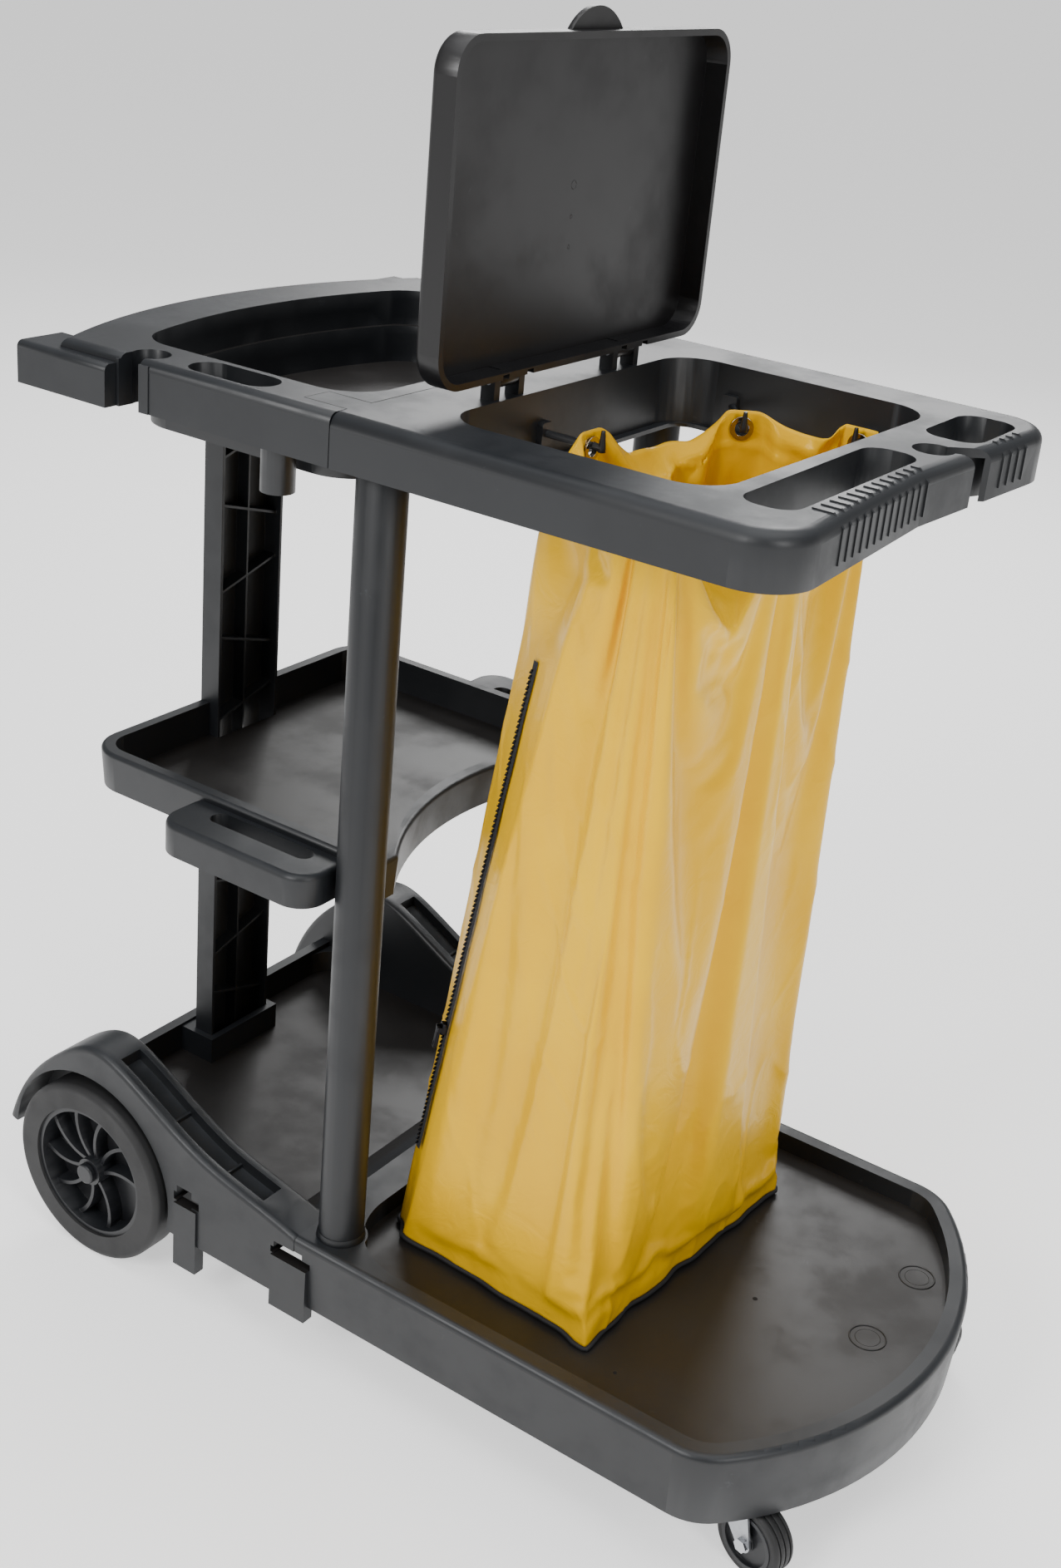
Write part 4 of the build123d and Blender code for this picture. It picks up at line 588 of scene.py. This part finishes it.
def tube(name, centres, radius, sides, material, closed=True):
    """A tube along a line of points."""
    count = len(centres)
    points = []
    for i in range(count):
        before = centres[i - 1] if closed or i else centres[i]
        after = centres[(i + 1) % count] if closed or i < count - 1 else centres[i]
        way_on = (after - before).normalized()
        side_way = way_on.cross(Vector((0, 0, 1))).normalized()
        up_way = side_way.cross(way_on)
        for k in range(sides):
            angle = 2 * pi * k / sides
            points.append(centres[i] + (side_way * cos(angle) + up_way * sin(angle)) * radius)
    made = []
    for i in range(count if closed else count - 1):
        j = (i + 1) % count
        for k in range(sides):
            m = (k + 1) % sides
            made.append((i * sides + k, i * sides + m, j * sides + m, j * sides + k))
    if not closed:
        made += [tuple(range(sides)), tuple((count - 1) * sides + k for k in reversed(range(sides)))]
    piece = new_mesh(name, points, made)
    piece.data.materials.append(material)
    return piece


outward = outward_of(foot_ring[:, :2])
piping_line = [at(x + o[0] * 1.2, y + o[1] * 1.2, z - 0.4) for (x, y, z), o in zip(foot_ring, outward)]
piping = tube("piping", piping_line, 2.3 * MM, 8, webbing)

# %% Zipper
TOOTH_PITCH, TOOTH_HALF, TOOTH_SIDE, TOOTH_LIFT = 2.6, (0.8, 0.8, 0.75), 0.9, 2.6
TEETH_LOW, TEETH_HIGH = 244, 756
TAPE_LOW, TAPE_HIGH, TAPE_HALF, TAPE_STEP = 240, 760, 5.0, 4.0


def zip_at(height, across, lift):
    """A point on the zipper: up the bag's rear corner, across the tape and off the cloth."""
    spot = Vector(zip_line(height))
    way_across = Vector((120.0, -97.0)).normalized()
    out_way = Vector((way_across.y, -way_across.x))
    spot = spot + way_across * across + out_way * lift
    return at(spot.x, spot.y, height)


def add_box(points, faces, centre, half):
    """Adds a box to lists of points and faces."""
    first = len(points)
    for dx in (-1, 1):
        for dy in (-1, 1):
            for dz in (-1, 1):
                points.append(centre + Vector((dx * half[0], dy * half[1], dz * half[2])))
    for quad in ((0, 1, 3, 2), (4, 6, 7, 5), (0, 4, 5, 1), (2, 3, 7, 6), (0, 2, 6, 4), (1, 5, 7, 3)):
        faces.append(tuple(first + q for q in quad))


teeth_points, teeth_faces = [], []
for step in range(int((TEETH_HIGH - TEETH_LOW) / TOOTH_PITCH)):
    side_shift = TOOTH_SIDE if step % 2 else -TOOTH_SIDE
    centre = zip_at(TEETH_LOW + step * TOOTH_PITCH, side_shift, TOOTH_LIFT)
    add_box(teeth_points, teeth_faces, centre, [t * MM for t in TOOTH_HALF])
teeth = new_mesh("zipper_teeth", teeth_points, teeth_faces, smooth=False)
teeth.data.materials.append(enamel)

# the woven tape, a little wavy at its edges where it is sewn to the cloth
tape_points = []
tape_steps = int((TAPE_HIGH - TAPE_LOW) / TAPE_STEP)
for step in range(tape_steps + 1):
    height = TAPE_LOW + step * TAPE_STEP
    sway = 0.5 * sin(step * 0.31)
    for across, lift in ((-TAPE_HALF, 0.4), (-2.2, 1.6), (2.2, 1.6), (TAPE_HALF, 0.4)):
        tape_points.append(zip_at(height, across + sway * (abs(across) > 3), lift))
tape_faces = []
for step in range(tape_steps):
    for k in range(3):
        corner = step * 4 + k
        tape_faces.append((corner, corner + 1, corner + 5, corner + 4))
tape = new_mesh("zipper_tape_woven", tape_points, tape_faces)
tape.data.materials.append(webbing)

# %% [markdown]
# ## Details the CAD leaves out
# Ejector marks, drain holes and rest pads are too shallow to matter to the motion, but the eye
# misses them on a large plain floor.

# %% Deck pads, drain holes and gate marks
DECK_Z = 131.0
PADS = ((402, 129), (404, 15))                 # where the rest pads lie
PAD_OUTER, PAD_INNER = 17.5, 12
DRAINS = ((294, -7, 2.6), (246, -183, 1.8))    # place and radius of each drain hole


def ring_on_deck(x, y, radius, height, count=72):
    """Points of a level circle in the CAD's millimetres."""
    return [
        at(x + radius * cos(2 * pi * k / count), y + radius * sin(2 * pi * k / count), height)
        for k in range(count)
    ]


details = []
for pad_x, pad_y in PADS:
    outer_ring = ring_on_deck(pad_x, pad_y, PAD_OUTER, DECK_Z)
    inner_ring = ring_on_deck(pad_x, pad_y, PAD_INNER, DECK_Z - 0.2)
    details.append(("cart", tube(f"deck_pad_{pad_y}", outer_ring, 0.9 * MM, 8, base_plastic)))
    details.append(("cart", tube(f"deck_pad_inner_{pad_y}", inner_ring, 0.5 * MM, 8, base_plastic)))
hole_black, _, _ = surface("shadowed_hole", Roughness=0.9, Base_Color=linear("050505"))
for hole_x, hole_y, hole_r in DRAINS:
    rim_of_hole = ring_on_deck(hole_x, hole_y, hole_r, DECK_Z + 0.12, 24)
    drain = new_mesh(f"drain_hole_{hole_x}", rim_of_hole, [tuple(range(24))], smooth=False)
    drain.data.materials.append(hole_black)
    details.append(("cart", drain))

# %% Gate marks in the lid
LID_FACE_X = -36.5                              # inside face of the open lid
GATES = ((1122, 3.6), (1096, 1.6), (1071, 1.6))    # height and radius of each mark
for mark_z, mark_r in GATES:
    turns = [2 * pi * k / 32 for k in range(32)]
    ring = [at(LID_FACE_X + 0.15, mark_r * cos(a), mark_z + mark_r * sin(a)) for a in turns]
    mark = tube(f"gate_mark_{mark_z}", ring, 0.45 * MM, 6, shaded_lid_plastic)
    details.append(("lid", mark))

# %% [markdown]
# ## Which body each piece rides on

# %% Attach the pieces
for piece in (bag_wall, bag_floor, piping, teeth, tape):
    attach(piece, "cart")
for body, piece in details:
    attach(piece, body)
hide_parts("bag")
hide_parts("bag_piping")
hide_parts("zipper_tape")

# %% [markdown]
# ## Floor, light and camera
# A pale floor under a pale world keeps the eye on the cart. A large lamp in front is the main light, one
# on the right stands in for a window, and one behind draws the bright lines along the rims.

# %% Stage
WHITE = (1.0, 1.0, 1.0, 1.0)
FLOOR = 60.0                                   # half the floor's side, in metres
stage_white, _, _ = surface(
    "pale_floor", Roughness=1.0, Base_Color=linear("f3f3f3"), Emission_Color=WHITE, Emission_Strength=0.8
)
floor_corners = [(-FLOOR, -FLOOR, 0), (FLOOR, -FLOOR, 0), (FLOOR, FLOOR, 0), (-FLOOR, FLOOR, 0)]
floor = new_mesh("floor", floor_corners, [(0, 1, 2, 3)], smooth=False)
floor.data.materials.append(stage_white)
world = bpy.data.worlds.new("studio")
bpy.context.scene.world = world
world.use_nodes = True
world.node_tree.nodes["Background"].inputs["Color"].default_value = (1, 1, 1, 1)
world.node_tree.nodes["Background"].inputs["Strength"].default_value = 0.3


def area_lamp(name, where, target, size, power):
    """A soft rectangular lamp that looks at a target."""
    lamp = bpy.data.lights.new(name, "AREA")
    lamp.shape = "RECTANGLE"
    lamp.size, lamp.size_y = size
    lamp.energy = power
    holder = bpy.data.objects.new(name, lamp)
    holder.location = where
    holder.rotation_euler = (Vector(target) - Vector(where)).to_track_quat("-Z", "Y").to_euler()
    bpy.context.scene.collection.objects.link(holder)
    return holder


area_lamp("key", (-0.5, -3.4, 2.6), (0.0, 0.0, 0.6), (1.2, 1.6), 95)
area_lamp("window", (3.3, -1.4, 2.3), (0.1, 0.0, 0.6), (0.8, 1.6), 48)
area_lamp("back", (-1.6, 3.2, 2.6), (0.0, 0.0, 0.7), (2.0, 1.2), 70)
area_lamp("top", (0.2, 0.0, 4.4), (0.0, 0.0, 0.0), (4.5, 4.5), 130)

# %% Camera
AZIMUTH, ELEVATION, ROLL = 32.57, 25.08, 5.52       # degrees
CAMERA_MM = (901.6, -1433.9, 1363.9)
FOCAL, IMAGE_W, IMAGE_H = 2378.4, 1276, 1886
CENTRE = (646.5, 950.5)
az, el, roll = radians(AZIMUTH), radians(ELEVATION), radians(ROLL)
forward = Vector((-sin(az) * cos(el), cos(az) * cos(el), -sin(el)))
right = Vector((cos(az), sin(az), 0))
down = forward.cross(right)
turned_right = right * cos(roll) - down * sin(roll)
turned_down = right * sin(roll) + down * cos(roll)
camera_data = bpy.data.cameras.new("camera")
camera_data.sensor_fit = "AUTO"
camera_data.sensor_width = 36
camera_data.lens = FOCAL / IMAGE_H * 36
camera_data.shift_x = -(CENTRE[0] - IMAGE_W / 2) / IMAGE_H
camera_data.shift_y = (CENTRE[1] - IMAGE_H / 2) / IMAGE_H
camera = bpy.data.objects.new("camera", camera_data)
axes = Matrix((turned_right, -turned_down, -forward)).transposed().to_4x4()
camera.matrix_world = Matrix.Translation(at(*CAMERA_MM)) @ axes
bpy.context.scene.collection.objects.link(camera)
bpy.context.scene.camera = camera
